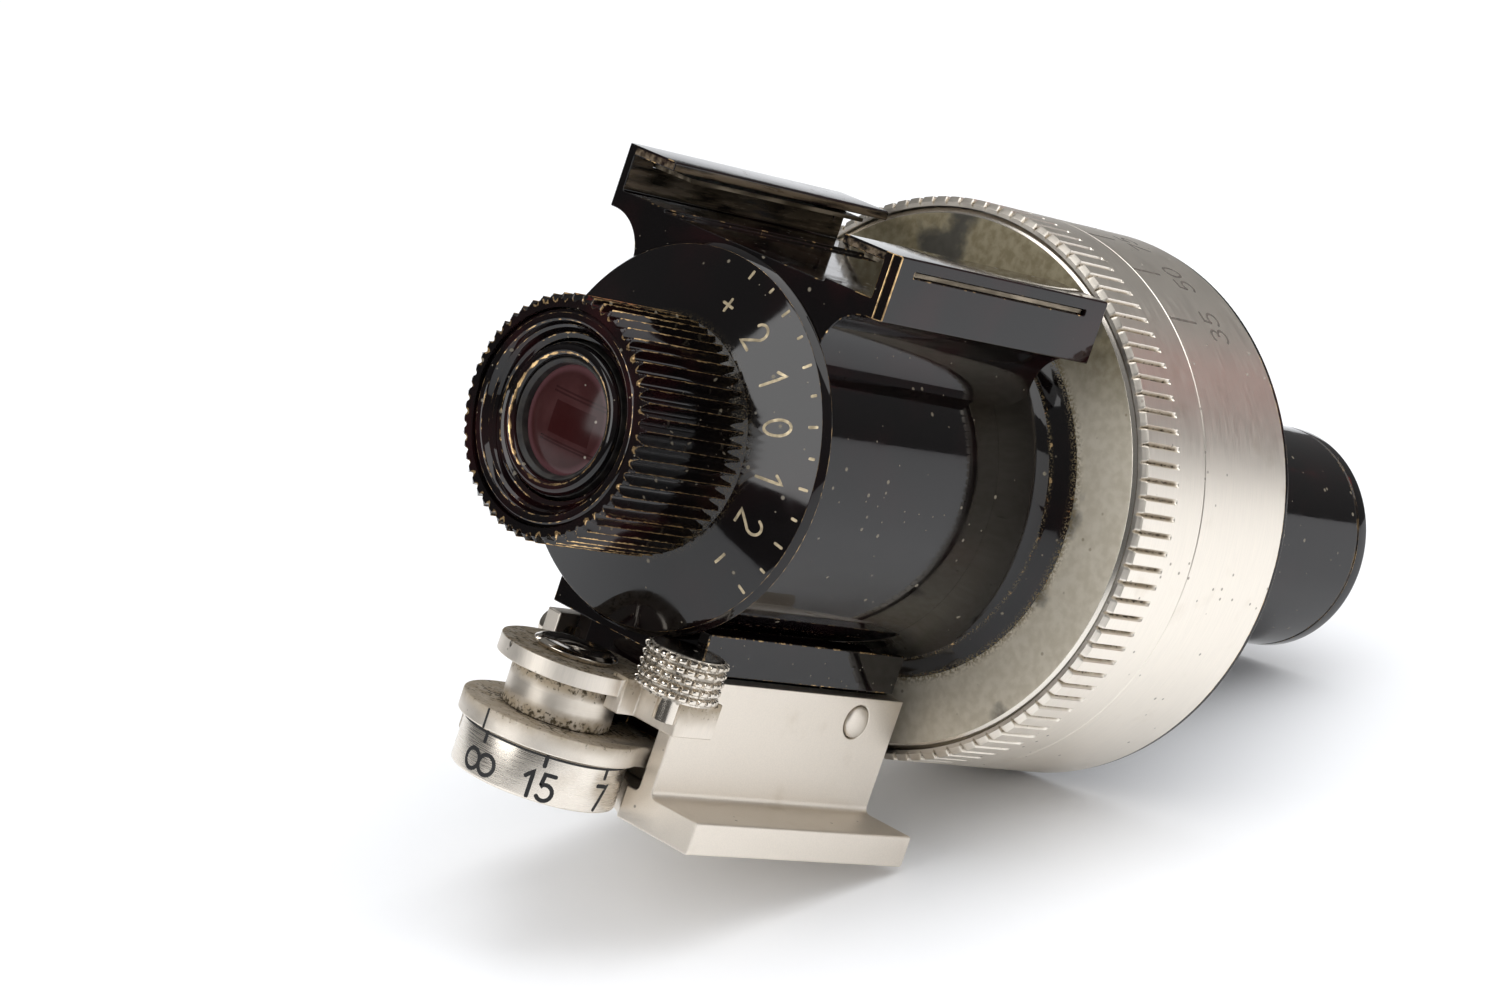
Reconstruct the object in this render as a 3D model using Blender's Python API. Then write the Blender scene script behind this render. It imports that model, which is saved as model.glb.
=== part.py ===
"""Universal viewfinder that slides into a camera's accessory shoe.

The frame's origin is the centre of the foot's bottom face. +Z is up, +Y points along the optical
axis towards the scene being viewed, and the eyepiece is at the -Y end. Lengths are metres.
"""

import math

import bmesh
import bpy

MM = 0.001

# Optical axis and the axial stations along it
AXIS_Z = 20.35 * MM
EYE_REAR_Y = -20.0 * MM
EYE_FRONT_Y = -11.95 * MM
EYE_RADIUS = 6.6 * MM
EYE_BORE = 5.2 * MM
COVER_EDGE_Y = -10.53 * MM
COVER_RIM_Y = -9.97 * MM
COVER_RADIUS = 10.73 * MM
BARREL_RADIUS = 9.9 * MM
BARREL_BORE = 9.0 * MM
COLLAR_REAR_Y = 5.5 * MM
COLLAR_RADIUS = 10.5 * MM
RING_REAR_Y = 10.61 * MM
RING_FRONT_Y = 24.45 * MM
RING_RADIUS = 16.23 * MM
RING_BORE = 14.6 * MM
FRONT_Y = 24.86 * MM
DRUM_RADIUS = 12.2 * MM
DRUM_BORE = 11.0 * MM
DRUM_FRONT_Y = 23.2 * MM
TUBE_FRONT_Y = 47.69 * MM
TUBE_RADIUS = 6.98 * MM
TUBE_BORE = 6.3 * MM

# Accessory shoe on the barrel, heights above the optical axis
SHOE_REAR_Y = -9.94 * MM
SHOE_FRONT_Y = 8.68 * MM
SHOE_FLOOR = 11.10 * MM
SHOE_TOP = 13.68 * MM
SHOE_LIP_UNDER = 13.15 * MM
SHOE_OUTER_X = 10.37 * MM
SHOE_INNER_X = 9.48 * MM
SHOE_GAP_X = 6.42 * MM
SHOE_WALL_BOTTOM = 10.08 * MM
SADDLE_FILLET = 1.9 * MM
SPRING_Z = AXIS_Z + 12.72 * MM
SPRING_REAR_Y = -8.1 * MM
SPRING_FRONT_Y = 6.9 * MM
SPRING_THICKNESS = 0.22 * MM

# Foot and the hinge that the finder tilts on
FOOT_HALF_WIDTH = 9.28 * MM
FOOT_HALF_LENGTH = 9.25 * MM
FLANGE = 1.87 * MM
NECK_OUTER_X = 5.64 * MM
NECK_INNER_X = 4.62 * MM
NECK_TOP = 8.61 * MM
HINGE_Y = 5.7 * MM
HINGE_Z = 7.15 * MM
HINGE_RADIUS = 0.92 * MM
STOP_Y = -8.2 * MM
STOP_Z = 7.5 * MM
INDEX_SCREWS = ((-2.6 * MM, -4.6 * MM), (2.6 * MM, -4.6 * MM))
RETURN_SCREW_Y = 0.2 * MM
BLOCK_BOTTOM = 9.0 * MM
BASE_SCREWS = (-5.5 * MM, 1.5 * MM)

# Distance dial and its lever
SPINDLE_Y = -12.36 * MM
DIAL_RADIUS = 4.62 * MM
DIAL_BOTTOM = 0.35 * MM
DIAL_TOP = 2.99 * MM
PLATE_BOTTOM = 3.12 * MM
PLATE_TOP = 4.25 * MM
PLATE_RADIUS = 5.1 * MM
HUB_RADIUS = 3.05 * MM
HUB_TOP = 6.77 * MM
HEAD_RADIUS = 4.1 * MM
HEAD_TOP = 7.81 * MM
LUG_LOW = 5.97 * MM
LUG_TOP = 8.0 * MM
KNOB_X = 6.6 * MM
KNOB_Y = -11.27 * MM
KNOB_RADIUS = 2.35 * MM
KNOB_TOP = 10.6 * MM
LEVER_TURN = math.radians(140)
LIFT = 0.80 * MM
LIFT_PIN_Y = -8.6 * MM
LIFT_PIN_RADIUS = 0.5 * MM

# Field mask: two angle blades driven along the picture's diagonal by a spiral cam
RING_TURN = math.radians(150)
MASK_HALF_WIDTH = 5.4 * MM
MASK_HALF_HEIGHT = 3.6 * MM
MASK_TRAVEL = 2.2 * MM
MASK_DIAGONAL = math.atan2(MASK_HALF_HEIGHT, MASK_HALF_WIDTH)
MASK_PIN_ORBIT = 9.0 * MM
MASK_PIN_RADIUS = 0.4 * MM
CAM_REAR_Y = 15.6 * MM
CAM_FRONT_Y = 16.9 * MM
DRIVE_ANGLE = MASK_DIAGONAL + math.radians(15)
DRIVE_RADIUS = 0.6 * MM

GAP = 0.05 * MM
SCREW_RADIUS = 0.7 * MM
ROUND = 36
SMALL_ROUND = 16
FLUTES = 56

COLOURS = {
    "black_lacquer": ((0.012, 0.011, 0.012, 1.0), 0.15, 0.0),
    "nickel": ((0.74, 0.70, 0.63, 1.0), 0.30, 1.0),
    "polished_nickel": ((0.72, 0.69, 0.63, 1.0), 0.12, 1.0),
    "brass": ((0.72, 0.52, 0.25, 1.0), 0.35, 1.0),
    "spring_steel": ((0.55, 0.54, 0.52, 1.0), 0.35, 1.0),
    "blackened_brass": ((0.02, 0.02, 0.02, 1.0), 0.6, 0.0),
    "optical_glass": ((0.75, 0.70, 0.72, 0.35), 0.02, 0.0),
}


def clear_scene():
    for item in list(bpy.data.objects):
        bpy.data.objects.remove(item, do_unlink=True)


def material_for(node, finish):
    colour, roughness, metallic = COLOURS[finish]
    material = bpy.data.materials.new(node)
    material.use_nodes = True
    shader = material.node_tree.nodes["Principled BSDF"]
    shader.inputs["Base Color"].default_value = colour
    shader.inputs["Roughness"].default_value = roughness
    shader.inputs["Metallic"].default_value = metallic
    return material


def finish_mesh(mesh_builder, node):
    """Closes off a bmesh into an object of that name, with its faces pointing out."""
    bmesh.ops.recalc_face_normals(mesh_builder, faces=mesh_builder.faces)
    mesh = bpy.data.meshes.new(node)
    mesh_builder.to_mesh(mesh)
    mesh_builder.free()
    mesh.shade_smooth()
    mesh.set_sharp_from_angle(angle=math.radians(35))
    item = bpy.data.objects.new(node, mesh)
    bpy.context.scene.collection.objects.link(item)
    return item


def moved_to(item, pivot):
    """Puts an object's origin on a point without moving its mesh in the world."""
    for vertex in item.data.vertices:
        vertex.co -= pivot.location
    item.parent = pivot
    return item


def turned_mesh(profile, axis, segments, radius_rule=None, origin=(0, 0, 0)):
    """Spins a closed profile of (along, radius) points about the Y or Z direction."""
    builder = bmesh.new()
    rings = []
    for along, radius in profile:
        ring = []
        if radius == 0:
            ring = [builder.verts.new(axis_point(axis, along, 0, 0, origin))] * segments
        else:
            for step in range(segments):
                angle = 2 * math.pi * step / segments
                reach = radius_rule(radius, step) if radius_rule else radius
                ring.append(builder.verts.new(axis_point(axis, along, reach, angle, origin)))
        rings.append(ring)
    for index, ring in enumerate(rings):
        following = rings[(index + 1) % len(rings)]
        if ring[0] is ring[1] and following[0] is following[1]:
            continue
        for step in range(segments):
            turn = (step + 1) % segments
            corners = [ring[step], ring[turn], following[turn], following[step]]
            loop = []
            for corner in corners:
                if corner not in loop:
                    loop.append(corner)
            builder.faces.new(loop)
    return builder


def axis_point(axis, along, reach, angle, origin):
    across = reach * math.cos(angle)
    other = reach * math.sin(angle)
    if axis == "Y":
        local = (across, along, other)
    elif axis == "Z":
        local = (across, other, along)
    else:
        local = (along, across, other)
    return tuple(local[i] + origin[i] for i in range(3))


def turned(node, finish, profile, segments=ROUND, radius_rule=None):
    """A piece turned about the optical axis; the profile's points are (y, radius)."""
    builder = turned_mesh(profile, "Y", segments, radius_rule, (0, 0, AXIS_Z))
    item = finish_mesh(builder, node)
    item.data.materials.append(material_for(node, finish))
    return item


def upright(node, finish, profile, x, y, segments=SMALL_ROUND):
    """A piece turned about a vertical line; the profile's points are (z, radius)."""
    item = finish_mesh(turned_mesh(profile, "Z", segments, None, (x, y, 0)), node)
    item.data.materials.append(material_for(node, finish))
    return item


def prism_mesh(outline, axis, low, high):
    """Extrudes a flat outline along X, Y or Z. Its points are the other two coordinates in order."""
    builder = bmesh.new()
    ends = []
    for along in (low, high):
        ends.append([builder.verts.new(plane_point(axis, along, point)) for point in outline])
    builder.faces.new(ends[0])
    builder.faces.new(ends[1])
    for index in range(len(outline)):
        turn = (index + 1) % len(outline)
        builder.faces.new((ends[0][index], ends[0][turn], ends[1][turn], ends[1][index]))
    return builder


def plane_point(axis, along, point):
    if axis == "X":
        return (along, point[0], point[1])
    if axis == "Y":
        return (point[0], along, point[1])
    return (point[0], point[1], along)


def prism(node, finish, outline, axis, low, high):
    item = finish_mesh(prism_mesh(outline, axis, low, high), node)
    item.data.materials.append(material_for(node, finish))
    return item


def box_outline(left, right, bottom, top):
    return [(left, bottom), (right, bottom), (right, top), (left, top)]


def arc(centre, radius, start, end, steps):
    points = []
    for step in range(steps + 1):
        angle = math.radians(start + (end - start) * step / steps)
        points.append((centre[0] + radius * math.cos(angle), centre[1] + radius * math.sin(angle)))
    return points


def hidden(item):
    item.hide_render = True
    item.display_type = "WIRE"
    return item


def boolean(item, tool, operation):
    modifier = item.modifiers.new(tool.name, "BOOLEAN")
    modifier.operation = operation
    modifier.solver = "EXACT"
    modifier.object = tool


def cut(item, label, builder):
    """Subtracts a closed tool mesh from a piece."""
    tool = hidden(finish_mesh(builder, item.name + "_" + label))
    boolean(item, tool, "DIFFERENCE")


def joined(item, label, builder):
    """Adds a closed tool mesh to a piece."""
    tool = hidden(finish_mesh(builder, item.name + "_" + label))
    boolean(item, tool, "UNION")


def cylinder(axis, low, high, radius, origin, segments=SMALL_ROUND):
    return turned_mesh([(low, 0), (low, radius), (high, radius), (high, 0)], axis, segments, None, origin)


def cap_screw(node, x, y, seat, depth, finish="spring_steel"):
    """A cheese-head screw standing on a seat, with a slot across its head."""
    head_radius = 1.3 * MM
    head_top = seat + 0.5 * MM
    profile = [
        (seat - depth, 0),
        (seat - depth, SCREW_RADIUS),
        (seat, SCREW_RADIUS),
        (seat, head_radius),
        (head_top, head_radius),
        (head_top, 0),
    ]
    screw = upright(node, finish, profile, x, y, 16)
    slot = box_outline(x - head_radius * 2, x + head_radius * 2, y - 0.15 * MM, y + 0.15 * MM)
    cut(screw, "slot", prism_mesh(slot, "Z", head_top - 0.25 * MM, head_top + MM))
    return screw


def screw_hole(item, label, x, y, low, high):
    cut(item, label, cylinder("Z", low, high, SCREW_RADIUS + 0.08 * MM, (x, y, 0), 16))


# ---------------------------------------------------------------- foot and hinge

def make_foot():
    outline = [
        (-FOOT_HALF_WIDTH, 0),
        (FOOT_HALF_WIDTH, 0),
        (FOOT_HALF_WIDTH, FLANGE),
        (NECK_OUTER_X, FLANGE),
        (NECK_OUTER_X, NECK_TOP),
        (NECK_INNER_X, NECK_TOP),
        (NECK_INNER_X, FLANGE),
        (-NECK_INNER_X, FLANGE),
        (-NECK_INNER_X, NECK_TOP),
        (-NECK_OUTER_X, NECK_TOP),
        (-NECK_OUTER_X, FLANGE),
        (-FOOT_HALF_WIDTH, FLANGE),
    ]
    foot = prism("foot", "nickel", outline, "Y", -FOOT_HALF_LENGTH, FOOT_HALF_LENGTH)
    dial_room = cylinder("Z", -MM, DIAL_TOP + MM, DIAL_RADIUS + 0.3 * MM, (0, SPINDLE_Y, 0), ROUND)
    cut(foot, "dial_room", dial_room)
    hinge_hole = cylinder("X", -10 * MM, 10 * MM, HINGE_RADIUS + GAP, (0, HINGE_Y, HINGE_Z))
    cut(foot, "hinge_hole", hinge_hole)
    stop_hole = cylinder("X", -10 * MM, 0, 0.5 * MM, (0, STOP_Y, STOP_Z), 16)
    cut(foot, "stop_hole", stop_hole)
    for number, (x, y) in enumerate(INDEX_SCREWS, 1):
        screw_hole(foot, "index_hole_%d" % number, x, y, 0.5 * MM, 3 * MM)
    screw_hole(foot, "spring_hole", 0, RETURN_SCREW_Y, 0.5 * MM, 3 * MM)
    return foot


def make_hinge_pin():
    end = NECK_OUTER_X + 0.25 * MM
    profile = [
        (-end, 0),
        (-end, HINGE_RADIUS * 0.6),
        (-end + 0.2 * MM, HINGE_RADIUS),
        (end - 0.2 * MM, HINGE_RADIUS),
        (end, HINGE_RADIUS * 0.6),
        (end, 0),
    ]
    pin = finish_mesh(turned_mesh(profile, "X", SMALL_ROUND, None, (0, HINGE_Y, HINGE_Z)), "hinge_pin")
    pin.data.materials.append(material_for("hinge_pin", "nickel"))


def make_stop_screw():
    """Round-headed screw in the left wall of the neck."""
    face = -NECK_OUTER_X - GAP
    profile = [
        (face - 0.75 * MM, 0),
        (face - 0.65 * MM, 0.5 * MM),
        (face - 0.3 * MM, 0.9 * MM),
        (face, 0.95 * MM),
        (face, 0.42 * MM),
        (-NECK_INNER_X, 0.42 * MM),
        (-NECK_INNER_X, 0),
    ]
    screw = finish_mesh(turned_mesh(profile, "X", 16, None, (0, STOP_Y, STOP_Z)), "stop_screw")
    screw.data.materials.append(material_for("stop_screw", "nickel"))


def make_index_plate():
    """Fixed plate over the dial that carries the index line and guides the lift pin."""
    block_x = NECK_INNER_X - 0.12 * MM
    front_y = -2.5 * MM
    meet_y = SPINDLE_Y + math.sqrt(PLATE_RADIUS ** 2 - block_x ** 2)
    start = math.degrees(math.atan2(meet_y - SPINDLE_Y, block_x))
    outline = [(-block_x, front_y), (block_x, front_y)]
    outline += arc((0, SPINDLE_Y), PLATE_RADIUS, start, -180 - start, 36)
    plate = prism("index_plate", "nickel", outline, "Z", PLATE_BOTTOM, PLATE_TOP)
    pedestal = box_outline(-block_x, block_x, -7.2 * MM, front_y)
    joined(plate, "pedestal", prism_mesh(pedestal, "Z", FLANGE + GAP, PLATE_BOTTOM + GAP))
    cut(plate, "spindle_bore", cylinder("Z", 0, 6 * MM, 1.6 * MM, (0, SPINDLE_Y, 0)))
    cut(plate, "lift_bore", cylinder("Z", 0, 6 * MM, LIFT_PIN_RADIUS + 0.08 * MM, (0, LIFT_PIN_Y, 0), 16))
    for number, (x, y) in enumerate(INDEX_SCREWS, 1):
        screw_hole(plate, "hole_%d" % number, x, y, 0, 6 * MM)


def make_return_spring():
    """Leaf that pushes up on the tongue ahead of the hinge, so the eyepiece end presses down."""
    thickness = 0.35 * MM
    seat = FLANGE + GAP
    flat_end = 2.2 * MM
    tip = 8.2 * MM
    rise = 3.3 * MM
    steps = 8
    under = [(-1.6 * MM, seat)]
    for step in range(steps + 1):
        share = step / steps
        under.append((flat_end + (tip - flat_end) * share, seat + rise * share ** 1.6))
    outline = under + [(y, z + thickness) for y, z in reversed(under)]
    leaf = prism("return_spring", "spring_steel", outline, "X", -1.7 * MM, 1.7 * MM)
    screw_hole(leaf, "hole", 0, RETURN_SCREW_Y, 0, 4 * MM)
    cap_screw("return_spring_screw", 0, RETURN_SCREW_Y, seat + thickness + GAP, 1.7 * MM)


# ---------------------------------------------------------------- distance lever

def make_dial(pivot):
    profile = [
        (DIAL_BOTTOM, 1.56 * MM),
        (DIAL_BOTTOM, DIAL_RADIUS - 0.2 * MM),
        (DIAL_BOTTOM + 0.2 * MM, DIAL_RADIUS),
        (DIAL_TOP - 0.1 * MM, DIAL_RADIUS),
        (DIAL_TOP, DIAL_RADIUS - 0.1 * MM),
        (DIAL_TOP, 1.56 * MM),
    ]
    dial = upright("distance_dial", "nickel", profile, 0, SPINDLE_Y, ROUND)
    cut(dial, "lift_ramp", ramp_mesh())
    moved_to(dial, pivot)


def ramp_mesh():
    """Helical groove in the dial's upper face. Its floor rises under the lift pin as the dial turns."""
    orbit = LIFT_PIN_Y - SPINDLE_Y
    half_width = LIFT_PIN_RADIUS + 0.15 * MM
    deepest = LIFT + 0.15 * MM
    lead_in = math.radians(12)
    steps = 20
    builder = bmesh.new()
    sections = []
    for step in range(steps + 1):
        turn = -lead_in + (LEVER_TURN + 2 * lead_in) * step / steps
        lifted = min(max(turn / LEVER_TURN, -lead_in / LEVER_TURN), 1)
        floor = DIAL_TOP - deepest + LIFT * lifted
        angle = math.pi / 2 + turn
        section = []
        for reach, z in (
            (orbit - half_width, floor),
            (orbit + half_width, floor),
            (orbit + half_width, DIAL_TOP + 0.08 * MM),
            (orbit - half_width, DIAL_TOP + 0.08 * MM),
        ):
            point = (reach * math.cos(angle), SPINDLE_Y + reach * math.sin(angle), z)
            section.append(builder.verts.new(point))
        sections.append(section)
    for near, far in zip(sections, sections[1:]):
        for corner in range(4):
            turn = (corner + 1) % 4
            builder.faces.new((near[corner], near[turn], far[turn], far[corner]))
    builder.faces.new(sections[0])
    builder.faces.new(sections[-1])
    return builder


def make_spindle(pivot):
    profile = [
        (DIAL_BOTTOM + 0.1 * MM, 0),
        (DIAL_BOTTOM + 0.1 * MM, 1.5 * MM),
        (PLATE_TOP + GAP, 1.5 * MM),
        (PLATE_TOP + GAP, HUB_RADIUS),
        (HUB_TOP, HUB_RADIUS),
        (HUB_TOP, 1.5 * MM),
        (HEAD_TOP - 0.1 * MM, 1.5 * MM),
        (HEAD_TOP - 0.1 * MM, 0.85 * MM),
        (4.6 * MM, 0.85 * MM),
        (4.6 * MM, 0),
    ]
    moved_to(upright("spindle", "nickel", profile, 0, SPINDLE_Y), pivot)


def make_lever_arm(pivot):
    head_low = HUB_TOP + GAP
    bore = 1.56 * MM
    profile = [(head_low, bore), (head_low, HEAD_RADIUS), (HEAD_TOP, HEAD_RADIUS), (HEAD_TOP, bore)]
    arm = upright("lever_arm", "nickel", profile, 0, SPINDLE_Y, ROUND)
    lug = [
        (3.2 * MM, -10.07 * MM),
        (8.45 * MM, -10.07 * MM),
        (8.45 * MM, -13.1 * MM),
        (5.3 * MM, -13.1 * MM),
        (4.65 * MM, -14.9 * MM),
        (3.3 * MM, -14.5 * MM),
    ]
    joined(arm, "lug", prism_mesh(lug, "Z", LUG_LOW, LUG_TOP))
    hub_room = cylinder("Z", LUG_LOW - MM, head_low, HUB_RADIUS + 0.06 * MM, (0, SPINDLE_Y, 0))
    cut(arm, "hub_room", hub_room)
    stud_hole = cylinder("Z", LUG_LOW + 0.5 * MM, 9 * MM, 0.85 * MM, (KNOB_X, KNOB_Y, 0), 16)
    cut(arm, "stud_hole", stud_hole)
    moved_to(arm, pivot)


def make_lever_screw(pivot):
    seat = HEAD_TOP + GAP
    profile = [
        (5.0 * MM, 0),
        (5.0 * MM, 0.78 * MM),
        (seat, 0.78 * MM),
        (seat, 2.2 * MM),
        (seat + 0.25 * MM, 2.4 * MM),
        (seat + 0.45 * MM, 1.9 * MM),
        (seat + 0.6 * MM, 0),
    ]
    screw = upright("lever_screw", "nickel", profile, 0, SPINDLE_Y)
    slot = box_outline(-3 * MM, 3 * MM, SPINDLE_Y - 0.2 * MM, SPINDLE_Y + 0.2 * MM)
    cut(screw, "slot", prism_mesh(slot, "Z", seat + 0.25 * MM, seat + 2 * MM))
    moved_to(screw, pivot)


def make_lever_knob(pivot):
    base = LUG_TOP + GAP
    profile = [
        (base, 0),
        (base, KNOB_RADIUS - 0.2 * MM),
        (base + 0.2 * MM, KNOB_RADIUS),
        (KNOB_TOP - 0.3 * MM, KNOB_RADIUS),
        (KNOB_TOP, KNOB_RADIUS - 0.4 * MM),
        (KNOB_TOP, 0),
    ]
    knob = upright("lever_knob", "polished_nickel", profile, KNOB_X, KNOB_Y)
    stud = cylinder("Z", LUG_LOW + 0.6 * MM, base + 0.2 * MM, 0.78 * MM, (KNOB_X, KNOB_Y, 0), 16)
    joined(knob, "stud", stud)
    moved_to(knob, pivot)


def make_lift_pin():
    bottom = DIAL_TOP - LIFT - 0.15 * MM + 0.07 * MM
    profile = [(bottom, 0), (bottom, LIFT_PIN_RADIUS), (PLATE_TOP + 0.15 * MM, LIFT_PIN_RADIUS),
               (PLATE_TOP + 0.15 * MM, 0)]
    upright("lift_pin", "spring_steel", profile, 0, LIFT_PIN_Y, 16)


# ---------------------------------------------------------------- finder body

def collar_room_mesh(clearance):
    """Room that the pieces on the barrel leave for the front collar."""
    radius = COLLAR_RADIUS + clearance
    return cylinder("Y", COLLAR_REAR_Y - 0.2 * MM, 12 * MM, radius, (0, 0, AXIS_Z), ROUND)


def make_base_block():
    """Black block soldered under the barrel. Its tongue hangs between the foot's neck walls."""
    low = BLOCK_BOTTOM
    side_top = 11.24 * MM
    seat_radius = BARREL_RADIUS + 0.2 * MM
    rear_y = -9.06 * MM
    front_y = 8.0 * MM
    seat_x = 4.75 * MM
    lean = math.degrees(math.asin(seat_x / seat_radius))
    outline = [(-NECK_OUTER_X, low), (NECK_OUTER_X, low), (NECK_OUTER_X, side_top)]
    outline += arc((0, AXIS_Z), seat_radius, -90 + lean, -90 - lean, 10)
    outline += [(-NECK_OUTER_X, side_top)]
    block = prism("base_block", "black_lacquer", outline, "Y", rear_y, front_y)
    tongue_x = NECK_INNER_X - 0.15 * MM
    pad_low = PLATE_TOP + 0.2 * MM
    tongue = [
        (-7.9 * MM, low + GAP),
        (-7.9 * MM, pad_low),
        (-6.6 * MM, pad_low),
        (-6.6 * MM, 5.6 * MM),
        (8.0 * MM, 5.6 * MM),
        (8.0 * MM, low + GAP),
    ]
    joined(block, "tongue", prism_mesh(tongue, "X", -tongue_x, tongue_x))
    lip = box_outline(-1.2 * MM, 1.2 * MM, -9.15 * MM, -7.5 * MM)
    joined(block, "lip", prism_mesh(lip, "Z", pad_low, 5.05 * MM))
    cut(block, "collar_room", collar_room_mesh(0.15 * MM))
    knob_room = cylinder("Z", 5 * MM, 14 * MM, KNOB_RADIUS + 0.35 * MM, (KNOB_X, KNOB_Y, 0))
    cut(block, "knob_room", knob_room)
    hinge_hole = cylinder("X", -10 * MM, 10 * MM, HINGE_RADIUS + 0.08 * MM, (0, HINGE_Y, HINGE_Z))
    cut(block, "hinge_hole", hinge_hole)
    for number, y in enumerate(BASE_SCREWS, 1):
        screw_hole(block, "screw_hole_%d" % number, 0, y, 8.2 * MM, 14 * MM)


def make_base_screws(barrel):
    """Screws put in from inside the barrel, down into the base block."""
    for number, y in enumerate(BASE_SCREWS, 1):
        screw_hole(barrel, "screw_hole_%d" % number, 0, y, 9 * MM, 14 * MM)
        seat = AXIS_Z - BARREL_BORE + 0.25 * MM
        cap_screw("base_screw_%d" % number, 0, y, seat, 3.0 * MM, "blackened_brass")


def make_barrel():
    profile = [
        (COVER_RIM_Y + GAP, BARREL_BORE),
        (COVER_RIM_Y + GAP, BARREL_RADIUS),
        (RING_REAR_Y - GAP, BARREL_RADIUS),
        (RING_REAR_Y - GAP, BARREL_BORE),
    ]
    return turned("barrel", "black_lacquer", profile)


def make_rear_cover():
    spigot = BARREL_BORE - 0.1 * MM
    profile = [
        (-18.2 * MM, 4.3 * MM),
        (-18.2 * MM, 5.1 * MM),
        (EYE_FRONT_Y + 0.1 * MM, 5.1 * MM),
        (EYE_FRONT_Y + 0.1 * MM, EYE_RADIUS),
        (COVER_EDGE_Y, 10.45 * MM),
        (COVER_RIM_Y, COVER_RADIUS),
        (COVER_RIM_Y, spigot),
        (-7.0 * MM, spigot),
        (-7.0 * MM, 8.1 * MM),
        (-9.9 * MM, 8.1 * MM),
        (-10.9 * MM, 5.4 * MM),
        (-10.9 * MM, 4.3 * MM),
    ]
    turned("rear_cover", "black_lacquer", profile)


def make_shoe_bracket():
    """Accessory shoe and its saddle over the barrel, one extruded piece."""
    seat = BARREL_RADIUS + 0.2 * MM
    fillet_x = 9.7 * MM
    foot_x = fillet_x - SADDLE_FILLET
    right = [
        (SHOE_INNER_X, SHOE_FLOOR),
        (SHOE_INNER_X, SHOE_LIP_UNDER),
        (SHOE_GAP_X, SHOE_LIP_UNDER),
        (SHOE_GAP_X, SHOE_TOP),
        (SHOE_OUTER_X, SHOE_TOP),
        (SHOE_OUTER_X, SHOE_WALL_BOTTOM),
    ]
    right += arc((fillet_x, SHOE_WALL_BOTTOM - SADDLE_FILLET), SADDLE_FILLET, 90, 180, 8)
    start = math.degrees(math.acos(foot_x / seat))
    saddle = arc((0, 0), seat, start, 180 - start, 20)
    half = [(x, z + AXIS_Z) for x, z in right]
    outline = half + [(x, z + AXIS_Z) for x, z in saddle] + [(-x, z) for x, z in reversed(half)]
    bracket = prism("shoe_bracket", "black_lacquer", outline, "Y", SHOE_REAR_Y, SHOE_FRONT_Y)
    cut(bracket, "collar_room", collar_room_mesh(0.1 * MM))
    recess = box_outline(-6.1 * MM, 6.1 * MM, SHOE_REAR_Y - MM, SHOE_FRONT_Y + MM)
    floor = AXIS_Z + SHOE_FLOOR - 0.2 * MM
    cut(bracket, "recess", prism_mesh(recess, "Z", floor, floor + 0.25 * MM))
    for side, label in ((-1, "left"), (1, "right")):
        edges = sorted((side * SHOE_GAP_X * 1.1, side * (SHOE_OUTER_X + MM)))
        slot = box_outline(edges[0], edges[1], SPRING_REAR_Y - 0.1 * MM, SPRING_FRONT_Y + 0.1 * MM)
        cut(bracket, "slot_" + label, prism_mesh(slot, "Z", SPRING_Z - 0.05 * MM, SPRING_Z + 0.30 * MM))
        strip = sorted((side * (SHOE_GAP_X + 0.2 * MM), side * (SHOE_OUTER_X - 0.25 * MM)))
        leaf = box_outline(SPRING_REAR_Y, SPRING_FRONT_Y, SPRING_Z, SPRING_Z + SPRING_THICKNESS)
        prism("shoe_spring_" + label, "brass", leaf, "X", strip[0], strip[1])


def make_collar():
    bore = BARREL_RADIUS + GAP
    profile = [
        (COLLAR_REAR_Y, bore),
        (COLLAR_REAR_Y, COLLAR_RADIUS - 0.15 * MM),
        (COLLAR_REAR_Y + 0.15 * MM, COLLAR_RADIUS),
        (9.4 * MM, COLLAR_RADIUS),
        (RING_REAR_Y - GAP, 11.5 * MM),
        (RING_REAR_Y - GAP, bore),
    ]
    turned("front_collar", "black_lacquer", profile)


def make_carrier_plate():
    """Polished disc that the focal-length ring turns on; a hub at its back plugs into the barrel."""
    hub = BARREL_BORE - 0.1 * MM
    rim = 15.57 * MM
    profile = [
        (8.9 * MM, 8.2 * MM),
        (8.9 * MM, hub),
        (RING_REAR_Y, hub),
        (RING_REAR_Y, rim - 0.1 * MM),
        (RING_REAR_Y + 0.1 * MM, rim),
        (12.2 * MM, rim),
        (12.2 * MM, 8.2 * MM),
    ]
    turned("carrier_plate", "polished_nickel", profile)


def sector_mesh(inner, outer, start, end, low, high, steps):
    """A closed block bent round the optical axis, from one angle to another."""
    builder = bmesh.new()
    sections = []
    for step in range(steps + 1):
        angle = start + (end - start) * step / steps
        section = []
        for reach, y in ((inner, low), (outer, low), (outer, high), (inner, high)):
            point = (reach * math.cos(angle), y, AXIS_Z + reach * math.sin(angle))
            section.append(builder.verts.new(point))
        sections.append(section)
    for near, far in zip(sections, sections[1:]):
        for corner in range(4):
            turn = (corner + 1) % 4
            builder.faces.new((near[corner], near[turn], far[turn], far[corner]))
    builder.faces.new(sections[0])
    builder.faces.new(sections[-1])
    return builder


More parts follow.
